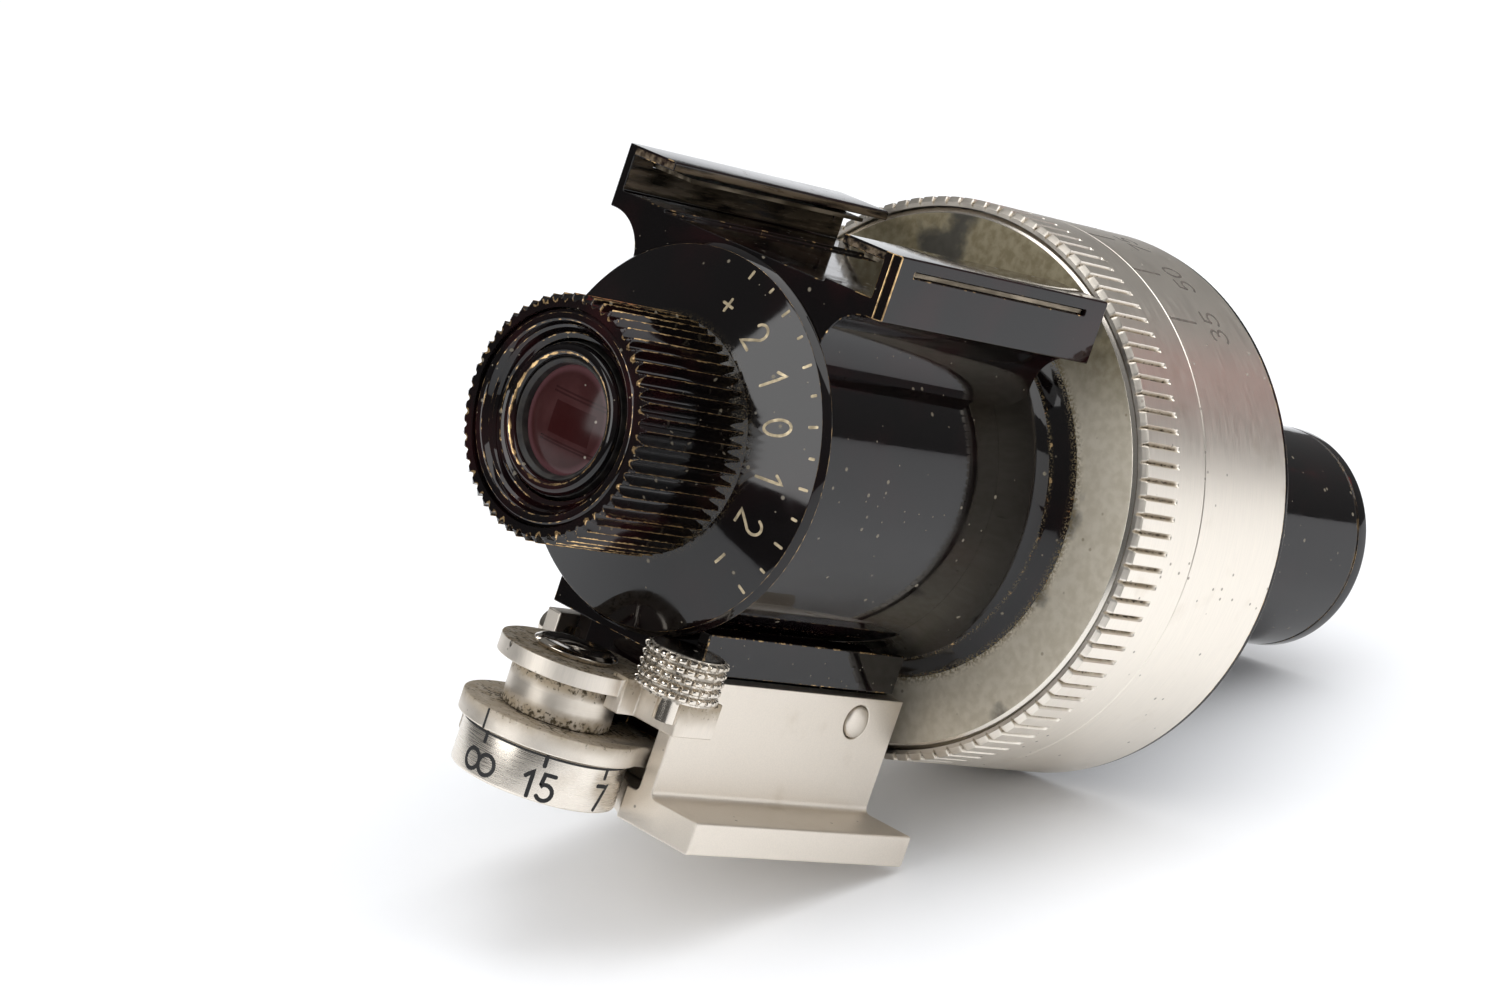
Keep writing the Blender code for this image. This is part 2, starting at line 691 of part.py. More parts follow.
def make_mask_housing():
    """Fixed drum inside the ring. A slot round it lets the drive screw reach the cam disc."""
    profile = [
        (12.25 * MM, DRUM_BORE),
        (12.25 * MM, DRUM_RADIUS),
        (DRUM_FRONT_Y, DRUM_RADIUS),
        (DRUM_FRONT_Y, DRUM_BORE),
    ]
    drum = turned("mask_housing", "blackened_brass", profile)
    middle = (CAM_REAR_Y + CAM_FRONT_Y) / 2
    half_slot = DRIVE_RADIUS + 0.15 * MM
    spare = math.radians(5)
    slot = sector_mesh(
        DRUM_BORE - MM,
        DRUM_RADIUS + MM,
        DRIVE_ANGLE - RING_TURN - spare,
        DRIVE_ANGLE + spare,
        middle - half_slot,
        middle + half_slot,
        26,
    )
    cut(drum, "drive_slot", slot)


def make_mask_guide():
    """Fixed plate behind the blades, with the largest picture window."""
    rear = 13.7 * MM
    front = 14.5 * MM
    rim = DRUM_BORE - 0.1 * MM
    profile = [(rear, 0), (rear, rim), (front, rim), (front, 0)]
    plate = turned("mask_guide_plate", "blackened_brass", profile)
    window = [
        (-MASK_HALF_WIDTH, AXIS_Z - MASK_HALF_HEIGHT),
        (MASK_HALF_WIDTH, AXIS_Z - MASK_HALF_HEIGHT),
        (MASK_HALF_WIDTH, AXIS_Z + MASK_HALF_HEIGHT),
        (-MASK_HALF_WIDTH, AXIS_Z + MASK_HALF_HEIGHT),
    ]
    cut(plate, "window", prism_mesh(window, "Y", 13 * MM, 15 * MM))


def make_mask_blade(node, side, rear_y):
    """L-shaped blade; side +1 covers the upper right of the picture, -1 the lower left."""
    near_x = MASK_HALF_WIDTH
    near_z = MASK_HALF_HEIGHT
    far_x = 8.2 * MM
    far_z = 6.1 * MM
    corners = [
        (near_x, -6.0 * MM),
        (far_x, -6.0 * MM),
        (far_x, far_z - 0.6 * MM),
        (far_x - 0.6 * MM, far_z),
        (-7.0 * MM, far_z),
        (-7.0 * MM, near_z),
        (near_x, near_z),
    ]
    outline = [(side * x, AXIS_Z + side * z) for x, z in corners]
    blade = prism(node, "blackened_brass", outline, "Y", rear_y, rear_y + 0.3 * MM)
    pin_x = side * MASK_PIN_ORBIT * math.cos(MASK_DIAGONAL)
    pin_z = AXIS_Z + side * MASK_PIN_ORBIT * math.sin(MASK_DIAGONAL)
    pin = cylinder("Y", rear_y + 0.1 * MM, CAM_FRONT_Y - 0.1 * MM, MASK_PIN_RADIUS, (pin_x, 0, pin_z), 12)
    joined(blade, "pin", pin)


def spiral_mesh(start_angle):
    """Slot whose distance from the axis falls evenly, to draw a blade's pin inwards."""
    half_width = MASK_PIN_RADIUS + 0.09 * MM
    spare = math.radians(5)
    steps = 24
    outer = []
    inner = []
    for step in range(steps + 1):
        turn = -spare + (RING_TURN + 2 * spare) * step / steps
        orbit = MASK_PIN_ORBIT - MASK_TRAVEL * turn / RING_TURN
        angle = start_angle + turn
        for reach, side in ((orbit + half_width, outer), (orbit - half_width, inner)):
            side.append((reach * math.cos(angle), AXIS_Z + reach * math.sin(angle)))
    return prism_mesh(outer + inner[::-1], "Y", CAM_REAR_Y - MM, CAM_FRONT_Y + MM)


def make_cam_disc(pivot):
    rim = DRUM_BORE - 0.1 * MM
    eye = 6.0 * MM
    profile = [(CAM_REAR_Y, eye), (CAM_REAR_Y, rim), (CAM_FRONT_Y, rim), (CAM_FRONT_Y, eye)]
    disc = turned("cam_disc", "blackened_brass", profile)
    cut(disc, "spiral_1", spiral_mesh(MASK_DIAGONAL))
    cut(disc, "spiral_2", spiral_mesh(MASK_DIAGONAL + math.pi))
    cut(disc, "drive_hole", drive_mesh(DRIVE_RADIUS + 0.06 * MM, 9.9 * MM, 13 * MM))
    moved_to(disc, pivot)


def drive_mesh(radius, low, high):
    """A radial pin at the drive screw's angle, from one distance to another."""
    builder = cylinder("X", low, high, radius, (0, 0, 0), 12)
    middle = (CAM_REAR_Y + CAM_FRONT_Y) / 2
    for vertex in builder.verts:
        x, y, z = vertex.co
        vertex.co = (
            x * math.cos(DRIVE_ANGLE) - z * math.sin(DRIVE_ANGLE),
            middle + y,
            AXIS_Z + x * math.sin(DRIVE_ANGLE) + z * math.cos(DRIVE_ANGLE),
        )
    return builder


def make_focal_ring(pivot):
    lip_bore = 15.65 * MM
    profile = [
        (RING_REAR_Y, lip_bore),
        (RING_REAR_Y + 0.12 * MM, RING_RADIUS),
        (RING_FRONT_Y, RING_RADIUS),
        (RING_FRONT_Y, RING_BORE),
        (12.3 * MM, RING_BORE),
        (12.3 * MM, lip_bore),
    ]
    ring = turned("focal_length_ring", "nickel", profile, 48)
    cut(ring, "drive_hole", drive_mesh(DRIVE_RADIUS + 0.06 * MM, 13 * MM, 15.3 * MM))
    moved_to(ring, pivot)
    screw = finish_mesh(drive_mesh(DRIVE_RADIUS, 10.0 * MM, 15.2 * MM), "drive_screw")
    screw.data.materials.append(material_for("drive_screw", "spring_steel"))
    moved_to(screw, pivot)


def make_front_cap():
    """Black front plate; its thin flange keeps the ring on."""
    profile = [
        (DRUM_FRONT_Y + GAP, TUBE_RADIUS + GAP),
        (DRUM_FRONT_Y + GAP, RING_BORE - 0.1 * MM),
        (RING_FRONT_Y + GAP, RING_BORE - 0.1 * MM),
        (RING_FRONT_Y + GAP, 16.15 * MM),
        (FRONT_Y, 16.05 * MM),
        (FRONT_Y, TUBE_RADIUS + GAP),
    ]
    turned("front_cap", "black_lacquer", profile)


def make_front_tube():
    flange_y = 22.0 * MM
    profile = [
        (flange_y, TUBE_BORE),
        (flange_y, 9.5 * MM),
        (DRUM_FRONT_Y, 9.5 * MM),
        (DRUM_FRONT_Y, TUBE_RADIUS),
        (TUBE_FRONT_Y - 0.2 * MM, TUBE_RADIUS),
        (TUBE_FRONT_Y, TUBE_RADIUS - 0.2 * MM),
        (TUBE_FRONT_Y, TUBE_BORE),
    ]
    turned("front_tube", "black_lacquer", profile)


def lens(node, radius, middle, edge, rear_bulge, front_bulge):
    """A round lens; each bulge is how far that face's centre stands out from its edge."""
    steps = 3
    profile = [(middle - edge / 2 - rear_bulge, 0)]
    for step in range(1, steps + 1):
        share = step / steps
        profile.append((middle - edge / 2 - rear_bulge * (1 - share ** 2), radius * share))
    for step in range(steps, 0, -1):
        share = step / steps
        profile.append((middle + edge / 2 + front_bulge * (1 - share ** 2), radius * share))
    profile.append((middle + edge / 2 + front_bulge, 0))
    return turned(node, "optical_glass", profile, 24)


def retainer(node, outer, inner, low, high, finish="blackened_brass"):
    profile = [(low, inner), (low, outer), (high, outer), (high, inner)]
    return turned(node, finish, profile, 24)


def make_front_optics():
    glass = TUBE_BORE - 0.08 * MM
    lens("objective_lens", glass, 45.2 * MM, 1.2 * MM, 0.3 * MM, 0.9 * MM)
    retainer("objective_retainer", glass, 5.6 * MM, 46.15 * MM, 47.1 * MM)
    lens("relay_lens", glass, 26.0 * MM, 1.4 * MM, 0.8 * MM, 0.5 * MM)
    retainer("relay_retainer", glass, 5.4 * MM, 27.0 * MM, 28.0 * MM)
    lens("field_lens", 8.1 * MM, 10.6 * MM, 1.0 * MM, 0.9 * MM, 0.2 * MM)
    retainer("field_lens_retainer", 8.1 * MM, 7.1 * MM, 11.25 * MM, 12.1 * MM)


def make_prisms():
    """Erecting pair: two right-angle prisms, crossed, hypotenuse to hypotenuse, in one holder."""
    low = -6.0 * MM
    high = 6.4 * MM
    rim = 8.85 * MM
    profile = [(low, 0), (low, rim), (high, rim), (high, 0)]
    holder = turned("prism_holder", "blackened_brass", profile, 32)
    for number, y in enumerate(BASE_SCREWS, 1):
        screw_room = cylinder("Z", AXIS_Z - 10 * MM, AXIS_Z - 7.6 * MM, 1.6 * MM, (0, y, 0), 16)
        cut(holder, "screw_room_%d" % number, screw_room)
    half = 5.2 * MM
    pocket = [(-half, AXIS_Z - half), (half, AXIS_Z - half), (half, AXIS_Z + half), (-half, AXIS_Z + half)]
    cut(holder, "pocket", prism_mesh(pocket, "Y", low - MM, high + MM))
    middle = (low + high) / 2
    side = half - 0.1 * MM
    depth = 5.0 * MM
    seam = 0.1 * MM
    rear = [(-side, middle - seam), (side, middle - seam), (0, middle - seam - depth)]
    prism("erecting_prism_rear", "optical_glass", rear, "Z", AXIS_Z - side, AXIS_Z + side)
    face = middle + seam
    front = [(face, AXIS_Z - side), (face + depth, AXIS_Z), (face, AXIS_Z + side)]
    prism("erecting_prism_front", "optical_glass", front, "X", -side, side)


# ---------------------------------------------------------------- eyepiece

def make_eyepiece(pivot):
    root = 6.12 / 6.6

    def fluted(radius, step):
        return radius if radius < EYE_RADIUS * 0.98 or step % 2 == 0 else radius * root

    seat = 5.8 * MM
    profile = [
        (EYE_REAR_Y, seat),
        (EYE_REAR_Y, 6.05 * MM),
        (EYE_REAR_Y + 0.2 * MM, EYE_RADIUS),
        (EYE_FRONT_Y, EYE_RADIUS),
        (EYE_FRONT_Y, EYE_BORE),
        (-18.3 * MM, EYE_BORE),
        (-18.3 * MM, seat),
    ]
    moved_to(turned("eyepiece_shell", "black_lacquer", profile, FLUTES * 2, fluted), pivot)
    bezel = [
        (-19.7 * MM, 4.85 * MM),
        (-19.9 * MM, 5.1 * MM),
        (-19.9 * MM, 5.6 * MM),
        (-19.75 * MM, seat - GAP),
        (-18.35 * MM, seat - GAP),
        (-18.35 * MM, 4.85 * MM),
    ]
    moved_to(turned("eyepiece_bezel", "black_lacquer", bezel), pivot)


def make_eye_cell():
    """Lens cell that the turning shell draws in and out; a key keeps it from turning."""
    outer = 4.2 * MM
    profile = [
        (-19.1 * MM, 3.4 * MM),
        (-19.1 * MM, 4.1 * MM),
        (-18.2 * MM, outer),
        (-13.4 * MM, outer),
        (-13.4 * MM, 2.9 * MM),
        (-16.9 * MM, 2.9 * MM),
        (-16.9 * MM, 3.4 * MM),
    ]
    turned("eye_cell", "blackened_brass", profile)
    lens("eye_lens", 3.33 * MM, -18.0 * MM, 1.2 * MM, 0.5 * MM, 0.4 * MM)
    ring = [
        (-19.15 * MM, 2.95 * MM),
        (-19.4 * MM, 3.15 * MM),
        (-19.55 * MM, 3.45 * MM),
        (-19.55 * MM, 3.8 * MM),
        (-19.4 * MM, 4.05 * MM),
        (-19.15 * MM, 4.05 * MM),
    ]
    turned("eye_lens_retainer", "black_lacquer", ring)


def pivot_at(name, location):
    pivot = bpy.data.objects.new(name, None)
    pivot.location = location
    bpy.context.scene.collection.objects.link(pivot)
    return pivot


def main():
    clear_scene()
    lever_pivot = pivot_at("lever_pivot", (0, SPINDLE_Y, 0))
    ring_pivot = pivot_at("ring_pivot", (0, 0, AXIS_Z))
    eyepiece_pivot = pivot_at("eyepiece_pivot", (0, 0, AXIS_Z))

    make_foot()
    make_hinge_pin()
    make_stop_screw()
    make_index_plate()
    for number, (x, y) in enumerate(INDEX_SCREWS, 1):
        cap_screw("index_screw_%d" % number, x, y, PLATE_TOP + GAP, 3.6 * MM)
    make_return_spring()

    make_dial(lever_pivot)
    make_spindle(lever_pivot)
    make_lever_arm(lever_pivot)
    make_lever_screw(lever_pivot)
    make_lever_knob(lever_pivot)
    make_lift_pin()

    make_base_block()
    make_base_screws(make_barrel())
    make_rear_cover()
    make_shoe_bracket()
    make_collar()
    make_carrier_plate()
    make_mask_housing()
    make_mask_guide()
    make_mask_blade("mask_blade_upper", 1, 14.6 * MM)
    make_mask_blade("mask_blade_lower", -1, 15.1 * MM)
    make_cam_disc(ring_pivot)
    make_focal_ring(ring_pivot)
    make_front_cap()
    make_front_tube()
    make_front_optics()
    make_prisms()

    make_eyepiece(eyepiece_pivot)
    make_eye_cell()


main()
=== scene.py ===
"""Looks for the universal viewfinder: detailed pieces, procedural finishes, studio and camera.

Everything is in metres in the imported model's own frame: +Y along the optical axis, +Z up, and the
origin in the centre of the foot's bottom face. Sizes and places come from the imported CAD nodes.
"""

import math

import bmesh
import bpy
from mathutils import Matrix, Vector


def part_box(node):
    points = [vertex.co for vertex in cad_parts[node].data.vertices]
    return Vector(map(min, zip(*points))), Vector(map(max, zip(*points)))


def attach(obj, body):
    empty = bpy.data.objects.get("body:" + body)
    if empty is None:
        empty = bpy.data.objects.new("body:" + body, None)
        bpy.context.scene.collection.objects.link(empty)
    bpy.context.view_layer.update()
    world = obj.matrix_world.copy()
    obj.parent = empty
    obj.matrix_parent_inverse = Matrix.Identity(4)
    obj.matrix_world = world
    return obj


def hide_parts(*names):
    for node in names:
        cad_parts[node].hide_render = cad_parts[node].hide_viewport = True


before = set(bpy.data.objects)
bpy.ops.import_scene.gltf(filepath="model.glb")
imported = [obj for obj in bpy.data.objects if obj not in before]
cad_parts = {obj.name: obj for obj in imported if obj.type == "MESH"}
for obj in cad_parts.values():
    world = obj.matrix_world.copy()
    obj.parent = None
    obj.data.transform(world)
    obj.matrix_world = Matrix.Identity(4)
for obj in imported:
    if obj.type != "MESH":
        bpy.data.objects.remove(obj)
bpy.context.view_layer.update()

MM = 0.001
TAU = 2 * math.pi
TINY = 1e-9

BLACK = (0.0035, 0.0026, 0.0028)
MAROON = (0.016, 0.0035, 0.004)
BRASS = (0.83, 0.56, 0.27)
TARNISH = (0.26, 0.17, 0.09)
DUST = (0.30, 0.26, 0.19)
OLIVE = (0.16, 0.12, 0.055)
NICKEL = (0.76, 0.70, 0.62)
PALE_NICKEL = (0.79, 0.735, 0.655)
BRONZE = (0.12, 0.088, 0.056)
GRIME = (0.050, 0.035, 0.015)
FILM = (0.30, 0.235, 0.15)
INK = (0.006, 0.006, 0.007)
RUST = (0.30, 0.13, 0.03)
STAIN = (0.42, 0.33, 0.22)
HAZE = (0.44, 0.38, 0.29)
EVEN = (1, 1, 1)

FLUTES = 56
RIBS = 104
KNOB_BEADS = 24
KNOB_ROWS = 5


def low(node):
    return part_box(node)[0]


def high(node):
    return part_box(node)[1]


def reach_of(node, axis=0):
    return (high(node)[axis] - low(node)[axis]) / 2


def middle_of(node):
    return tuple((start + end) / 2 for start, end in zip(*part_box(node)))


def shares(steps):
    """The fractions from 0 to 1 in equal steps."""
    return [step / steps for step in range(steps + 1)]


AXIS = (0.0, 0.0, middle_of("barrel")[2])
SPINDLE = (0.0, middle_of("distance_dial")[1], 0.0)
KNOB = (*middle_of("lever_knob")[:2], 0.0)
RING_RADIUS = reach_of("focal_length_ring") - 0.02 * MM
DIAL_RADIUS = reach_of("distance_dial")
BORE = 1.56 * MM
SCREW = 0.78 * MM


# ---------------------------------------------------------------- finishes

class Finish:
    """A material's node tree, with short calls for the nodes that the finishes share."""

    def __init__(self, name):
        self.material = bpy.data.materials.new(name)
        self.material.use_nodes = True
        self.tree = self.material.node_tree
        self.shader = self.tree.nodes["Principled BSDF"]
        self.where = self.make("ShaderNodeTexCoord").outputs["Object"]

    def make(self, kind, inputs=None, **settings):
        node = self.tree.nodes.new(kind)
        for key, value in settings.items():
            setattr(node, key, value)
        for key, value in (inputs or {}).items():
            self.feed(node.inputs[key], value)
        return node

    def feed(self, socket, value):
        if isinstance(value, bpy.types.NodeSocket):
            self.tree.links.new(value, socket)
        elif isinstance(value, tuple) and len(value) == 3 and len(socket.default_value) == 4:
            socket.default_value = (*value, 1.0)
        else:
            socket.default_value = value

    def maths(self, operation, first, second=0.0):
        return self.make("ShaderNodeMath", {0: first, 1: second}, operation=operation).outputs[0]

    def times(self, first, second):
        return self.maths("MULTIPLY", first, second)

    def most(self, first, second):
        return self.maths("MAXIMUM", first, second)

    def less(self, first, second):
        return self.maths("SUBTRACT", first, second)

    def parts(self):
        """The sockets for a point's X, Y and Z."""
        return self.make("ShaderNodeSeparateXYZ", {0: self.where}).outputs

    def away_from(self, place):
        inputs = {0: self.where, 1: place}
        return self.make("ShaderNodeVectorMath", inputs, operation="DISTANCE").outputs["Value"]

    def ramp(self, value, start, end, first=0.0, last=1.0):
        inputs = {0: value, 1: start, 2: end, 3: first, 4: last}
        return self.make("ShaderNodeMapRange", inputs, interpolation_type="SMOOTHSTEP").outputs[0]

    def noise(self, size, stretch=EVEN, detail=3.0):
        """Noise whose features are about size metres across, longer where stretch is below 1."""
        inputs = {0: self.where, 1: stretch}
        place = self.make("ShaderNodeVectorMath", inputs, operation="MULTIPLY").outputs[0]
        inputs = {"Vector": place, "Scale": 1 / size, "Detail": detail}
        return self.make("ShaderNodeTexNoise", inputs).outputs["Fac"]

    def specks(self, spacing, share):
        """Small dots, one to a cell of that spacing, in about that share of the cells."""
        cells = self.make("ShaderNodeTexVoronoi", {"Vector": self.where, "Scale": 1 / spacing})
        near = self.ramp(cells.outputs["Distance"], 0.10, 0.20, 1.0, 0.0)
        chosen = self.make("ShaderNodeSeparateColor", {0: cells.outputs["Color"]}).outputs[0]
        return self.times(near, self.maths("LESS_THAN", chosen, share))

    def mix(self, share, first, second):
        """Between two colours."""
        inputs = {0: share, 6: first, 7: second}
        return self.make("ShaderNodeMix", inputs, data_type="RGBA").outputs[2]

    def blend(self, share, first, second):
        """Between two plain values."""
        inputs = {0: share, 2: first, 3: second}
        return self.make("ShaderNodeMix", inputs, data_type="FLOAT").outputs[0]

    def painted(self, name):
        return self.make("ShaderNodeAttribute", attribute_name=name).outputs["Fac"]

    def bump(self, height, distance, strength=1.0):
        inputs = {"Height": height, "Distance": distance, "Strength": strength}
        return self.make("ShaderNodeBump", inputs).outputs[0]

    def done(self, **values):
        for key, value in values.items():
            self.feed(self.shader.inputs[key.replace("_", " ")], value)
        return self.material


def lacquer(name, worn=None, dust=0.10, tint=0.35, smooth=0.04, rubbed_at=None, channel=None):
    """Gloss black lacquer over brass. The brass shows where the painted wear is high, or all over an edge.

    rubbed_at is a point and a radius where an edge is worn bare. channel is the half width, the floor's
    height and the top's height of an open channel whose inside has been rubbed to a dull bronze.
    """
    f = Finish(name)
    wear = f.painted("wear") if worn is None else worn
    if rubbed_at:
        place, radius = rubbed_at
        wear = f.most(wear, f.ramp(f.away_from(place), radius * 0.6, radius, 1.1, 0.0))
    ragged = f.times(f.less(f.noise(0.45 * MM, detail=4.0), 0.5), 1.5)
    bare = f.ramp(f.maths("ADD", wear, ragged), 0.62, 0.86)
    paint = f.mix(f.ramp(f.noise(5 * MM), 0.45, 0.75, 0.0, tint), BLACK, MAROON)
    metal = f.mix(f.ramp(f.noise(0.9 * MM), 0.35, 0.65), TARNISH, BRASS)
    smear = f.ramp(f.noise(2.2 * MM, detail=5.0), 0.4, 0.75, smooth, smooth + 0.07)
    if channel:
        half, floor, top = channel
        across, height = f.parts()[0], f.parts()[2]
        inside = f.ramp(f.maths("ABSOLUTE", across), half, half + 0.02 * MM, 1.0, 0.0)
        inside = f.times(inside, f.ramp(height, floor + 0.05 * MM, floor + 0.3 * MM))
        inside = f.times(inside, f.ramp(height, top - 0.05 * MM, top, 1.0, 0.0))
        inside = f.times(inside, f.ramp(f.noise(0.5 * MM, (1, 0.12, 1), detail=5.0), 0.35, 0.62))
        paint = f.mix(inside, paint, BRONZE)
        smear = f.blend(inside, smear, 0.34)
    fluff = f.times(f.painted("grime"), f.ramp(f.noise(0.10 * MM, detail=2.0), 0.48, 0.62))
    fluff_tone = f.mix(f.ramp(f.noise(0.3 * MM), 0.62, 0.70), OLIVE, RUST)
    speck = f.times(f.most(f.specks(0.75 * MM, dust), f.specks(0.33 * MM, dust * 0.35)), 0.5)
    colour = f.mix(speck, f.mix(fluff, f.mix(bare, paint, metal), fluff_tone), DUST)
    dirt = f.most(fluff, speck)
    rough = f.blend(dirt, f.blend(bare, smear, 0.28), 0.85)
    ripple = f.bump(f.noise(1.6 * MM, detail=1.0), 0.006 * MM, 0.5)
    return f.done(Base_Color=colour, Metallic=f.times(bare, f.less(1.0, dirt)), Roughness=rough,
                  Normal=ripple, IOR=1.45)


def nickel(name, stretch, grain, rough, depth=0.004 * MM, base=NICKEL):
    """Nickel plate, its grain stretched along the tool marks and its dirt where it is painted."""
    f = Finish(name)
    marks = f.noise(grain, stretch, detail=4.0)
    brighter = tuple(min(c * 1.07, 0.95) for c in base)
    tone = f.mix(f.ramp(marks, 0.3, 0.7), base, brighter)
    tone = f.mix(f.ramp(f.noise(2.6 * MM, detail=4.0), 0.58, 0.80, 0.0, 0.22), tone, STAIN)
    patch = f.painted("grime")
    film = f.times(f.ramp(patch, 0.1, 0.6), f.ramp(f.noise(0.8 * MM, detail=4.0), 0.25, 0.6, 0.45, 0.9))
    grit = f.maths("ADD", f.noise(0.22 * MM, detail=4.0), f.times(patch, 0.50))
    foul = f.most(f.ramp(grit, 0.80, 0.98), f.times(f.specks(0.6 * MM, 0.10), 0.6))
    dull = f.most(foul, f.times(film, 0.8))
    brushed = f.ramp(marks, 0.25, 0.75, rough - 0.05, rough + 0.07)
    colour = f.mix(foul, f.mix(film, tone, FILM), GRIME)
    return f.done(Base_Color=colour, Metallic=f.ramp(dull, 0, 1, 1, 0.1),
                  Roughness=f.blend(dull, brushed, 0.8), Normal=f.bump(marks, depth, 0.8))


def polished(name, rough=0.09, haze=0.16):
    """Old polished nickel: bright, with a brownish haze, fine scratches and dirt at the painted places."""
    f = Finish(name)
    hazy = f.ramp(f.noise(5.5 * MM, detail=4.0), 0.42, 0.72)
    tone = f.mix(f.times(hazy, 0.45), NICKEL, HAZE)
    grit = f.times(f.painted("grime"), f.ramp(f.noise(0.25 * MM, detail=4.0), 0.40, 0.58))
    grit = f.most(grit, f.times(f.specks(0.8 * MM, 0.10), 0.5))
    scratches = f.bump(f.noise(0.16 * MM, (1, 1, 0.05), detail=2.0), 0.0015 * MM, 0.6)
    return f.done(Base_Color=f.mix(grit, tone, GRIME), Metallic=f.ramp(grit, 0, 1, 1, 0.1),
                  Roughness=f.blend(grit, f.blend(hazy, rough, haze), 0.8), Normal=scratches)


def dusty_disc(name):
    """Nickel disc under a dry beige film, darker near the top, with bare patches whose dark grey colour is
    a painted reflection of the black finder body, and a bright rim.
    """
    f = Finish(name)
    height = f.ramp(f.parts()[2], AXIS[2] + 6 * MM, AXIS[2] + 12 * MM)
    # Patches where the film is off. Their dark grey colour below is a painted reflection of the black
    # finder body, not the nickel's own colour.
    bare = f.ramp(f.noise(5 * MM, detail=5.0), 0.56, 0.66)
    grain = f.ramp(f.noise(0.5 * MM, detail=4.0), 0.3, 0.7)
    film = f.mix(grain, (0.60, 0.54, 0.43), (0.70, 0.64, 0.53))
    film = f.mix(height, film, f.mix(grain, (0.20, 0.165, 0.095), (0.30, 0.26, 0.17)))
    # The dark grey mixed in here is the painted reflection in the bare patches.
    colour = f.mix(f.times(bare, 0.85), film, (0.060, 0.060, 0.058))
    grit = f.times(f.painted("grime"), f.ramp(f.noise(0.16 * MM, detail=4.0), 0.40, 0.58))
    grit = f.most(grit, f.times(f.specks(0.7 * MM, 0.12), 0.6))
    rim = f.painted("wear")
    colour = f.mix(rim, f.mix(grit, colour, OLIVE), PALE_NICKEL)
    rough = f.blend(rim, f.blend(grit, f.blend(bare, 0.42, 0.30), 0.85), 0.2)
    metallic = f.most(rim, f.times(f.less(1.0, grit), 0.40))
    return f.done(Base_Color=colour, Metallic=metallic, Roughness=rough)


def mottled(name, grain, tones, rough, depth, contrast=(0.35, 0.7), relief=None, strength=0.6, **values):
    """A plain finish whose colour and gloss waver along one noise, between two tones and two roughnesses.

    grain is what Finish.noise takes, and so is relief, a second noise for the bump where it has its own.
    """
    f = Finish(name)
    patch = f.noise(*grain)
    colour = f.mix(f.ramp(patch, *contrast) if contrast else patch, *tones)
    bump = f.bump(f.noise(*relief) if relief else patch, depth, strength)
    return f.done(Base_Color=colour, Roughness=f.ramp(patch, 0.3, 0.7, *rough), Normal=bump, **values)


def filled(name, colour, metallic=0.0, rough=0.45):
    """Paint or metal in the bottom of an engraved line, uneven along it."""
    darker = tuple(c * 0.55 + 0.004 for c in colour)
    return mottled(name, (0.35 * MM, EVEN, 4.0), (colour, darker), (rough, rough + 0.2), 0.01 * MM,
                   Metallic=metallic)


def dull_black(name):
    return mottled(name, (0.6 * MM, EVEN, 4.0), ((0.010, 0.009, 0.009), (0.028, 0.024, 0.020)),
                   (0.42, 0.62), 0.006 * MM, relief=(0.12 * MM,))


def tarnished_strip(name):
    return mottled(name, (0.5 * MM, (1, 0.15, 1), 4.0), ((0.10, 0.08, 0.055), (0.38, 0.32, 0.24)),
                   (0.3, 0.5), 0.005 * MM, contrast=(0.35, 0.65), Metallic=0.85)


def steel(name):
    return mottled(name, (0.12 * MM, (1, 1, 0.2)), ((0.42, 0.40, 0.38), (0.62, 0.60, 0.57)),
                   (0.24, 0.4), 0.003 * MM, contrast=None, Metallic=1.0)


def glass(name):
    """Optical glass seen against the black inside of a tube: dark, with a plum cast from its coating."""
    return mottled(name, (2.0 * MM,), ((0.018, 0.006, 0.012), (0.045, 0.014, 0.022)),
                   (0.02, 0.06), 0.001 * MM, relief=(3 * MM, EVEN, 1.0), strength=0.4, IOR=1.6)


# ---------------------------------------------------------------- mesh building

def softened(outline, radius, steps=4):
    """Rounds a closed outline's corners. A corner's own third value replaces the radius.

    The result's third value is the wear: 1 in the middle of a corner and 0 where the corner ends.
    """
    points = []
    for index, corner in enumerate(outline):
        here = Vector(corner[:2])
        back = Vector(outline[index - 1][:2]) - here
        ahead = Vector(outline[(index + 1) % len(outline)][:2]) - here
        turn = back.angle(ahead)
        own = corner[2] if len(corner) > 2 else radius
        if own <= 0 or turn > math.radians(172):
            points.append((here.x, here.y, 0.0))
            continue
        trim = min(own / math.tan(turn / 2), back.length * 0.48, ahead.length * 0.48)
        start = here + back.normalized() * trim
        end = here + ahead.normalized() * trim
        for share in shares(steps):
            point = start * (1 - share) ** 2 + here * (2 * share * (1 - share)) + end * share ** 2
            points.append((point.x, point.y, 1 - abs(2 * share - 1)))
    return points


def bow(across, up, wide, tall, start, end, steps=14):
    """An arc of an ellipse round (across, up), from one angle to another in degrees."""
    points = []
    for share in shares(steps):
        angle = math.radians(start + (end - start) * share)
        points.append((across + wide * math.cos(angle), up + tall * math.sin(angle)))
    return points


def unworn(outline):
    """The outline as a profile with no wear."""
    return [(along, reach, 0.0) for along, reach in outline]


def divided(points, longest):
    """Adds points along a closed profile's long runs, so that painted values can vary along them."""
    dense = []
    for index, point in enumerate(points):
        following = points[(index + 1) % len(points)]
        length = math.dist(point[:2], following[:2])
        pieces = min(40, max(1, int(length / longest)))
        for piece in range(pieces):
            share = piece / pieces
            along = point[0] + (following[0] - point[0]) * share
            reach = point[1] + (following[1] - point[1]) * share
            dense.append((along, reach, point[2] if piece == 0 else 0.0))
    return dense


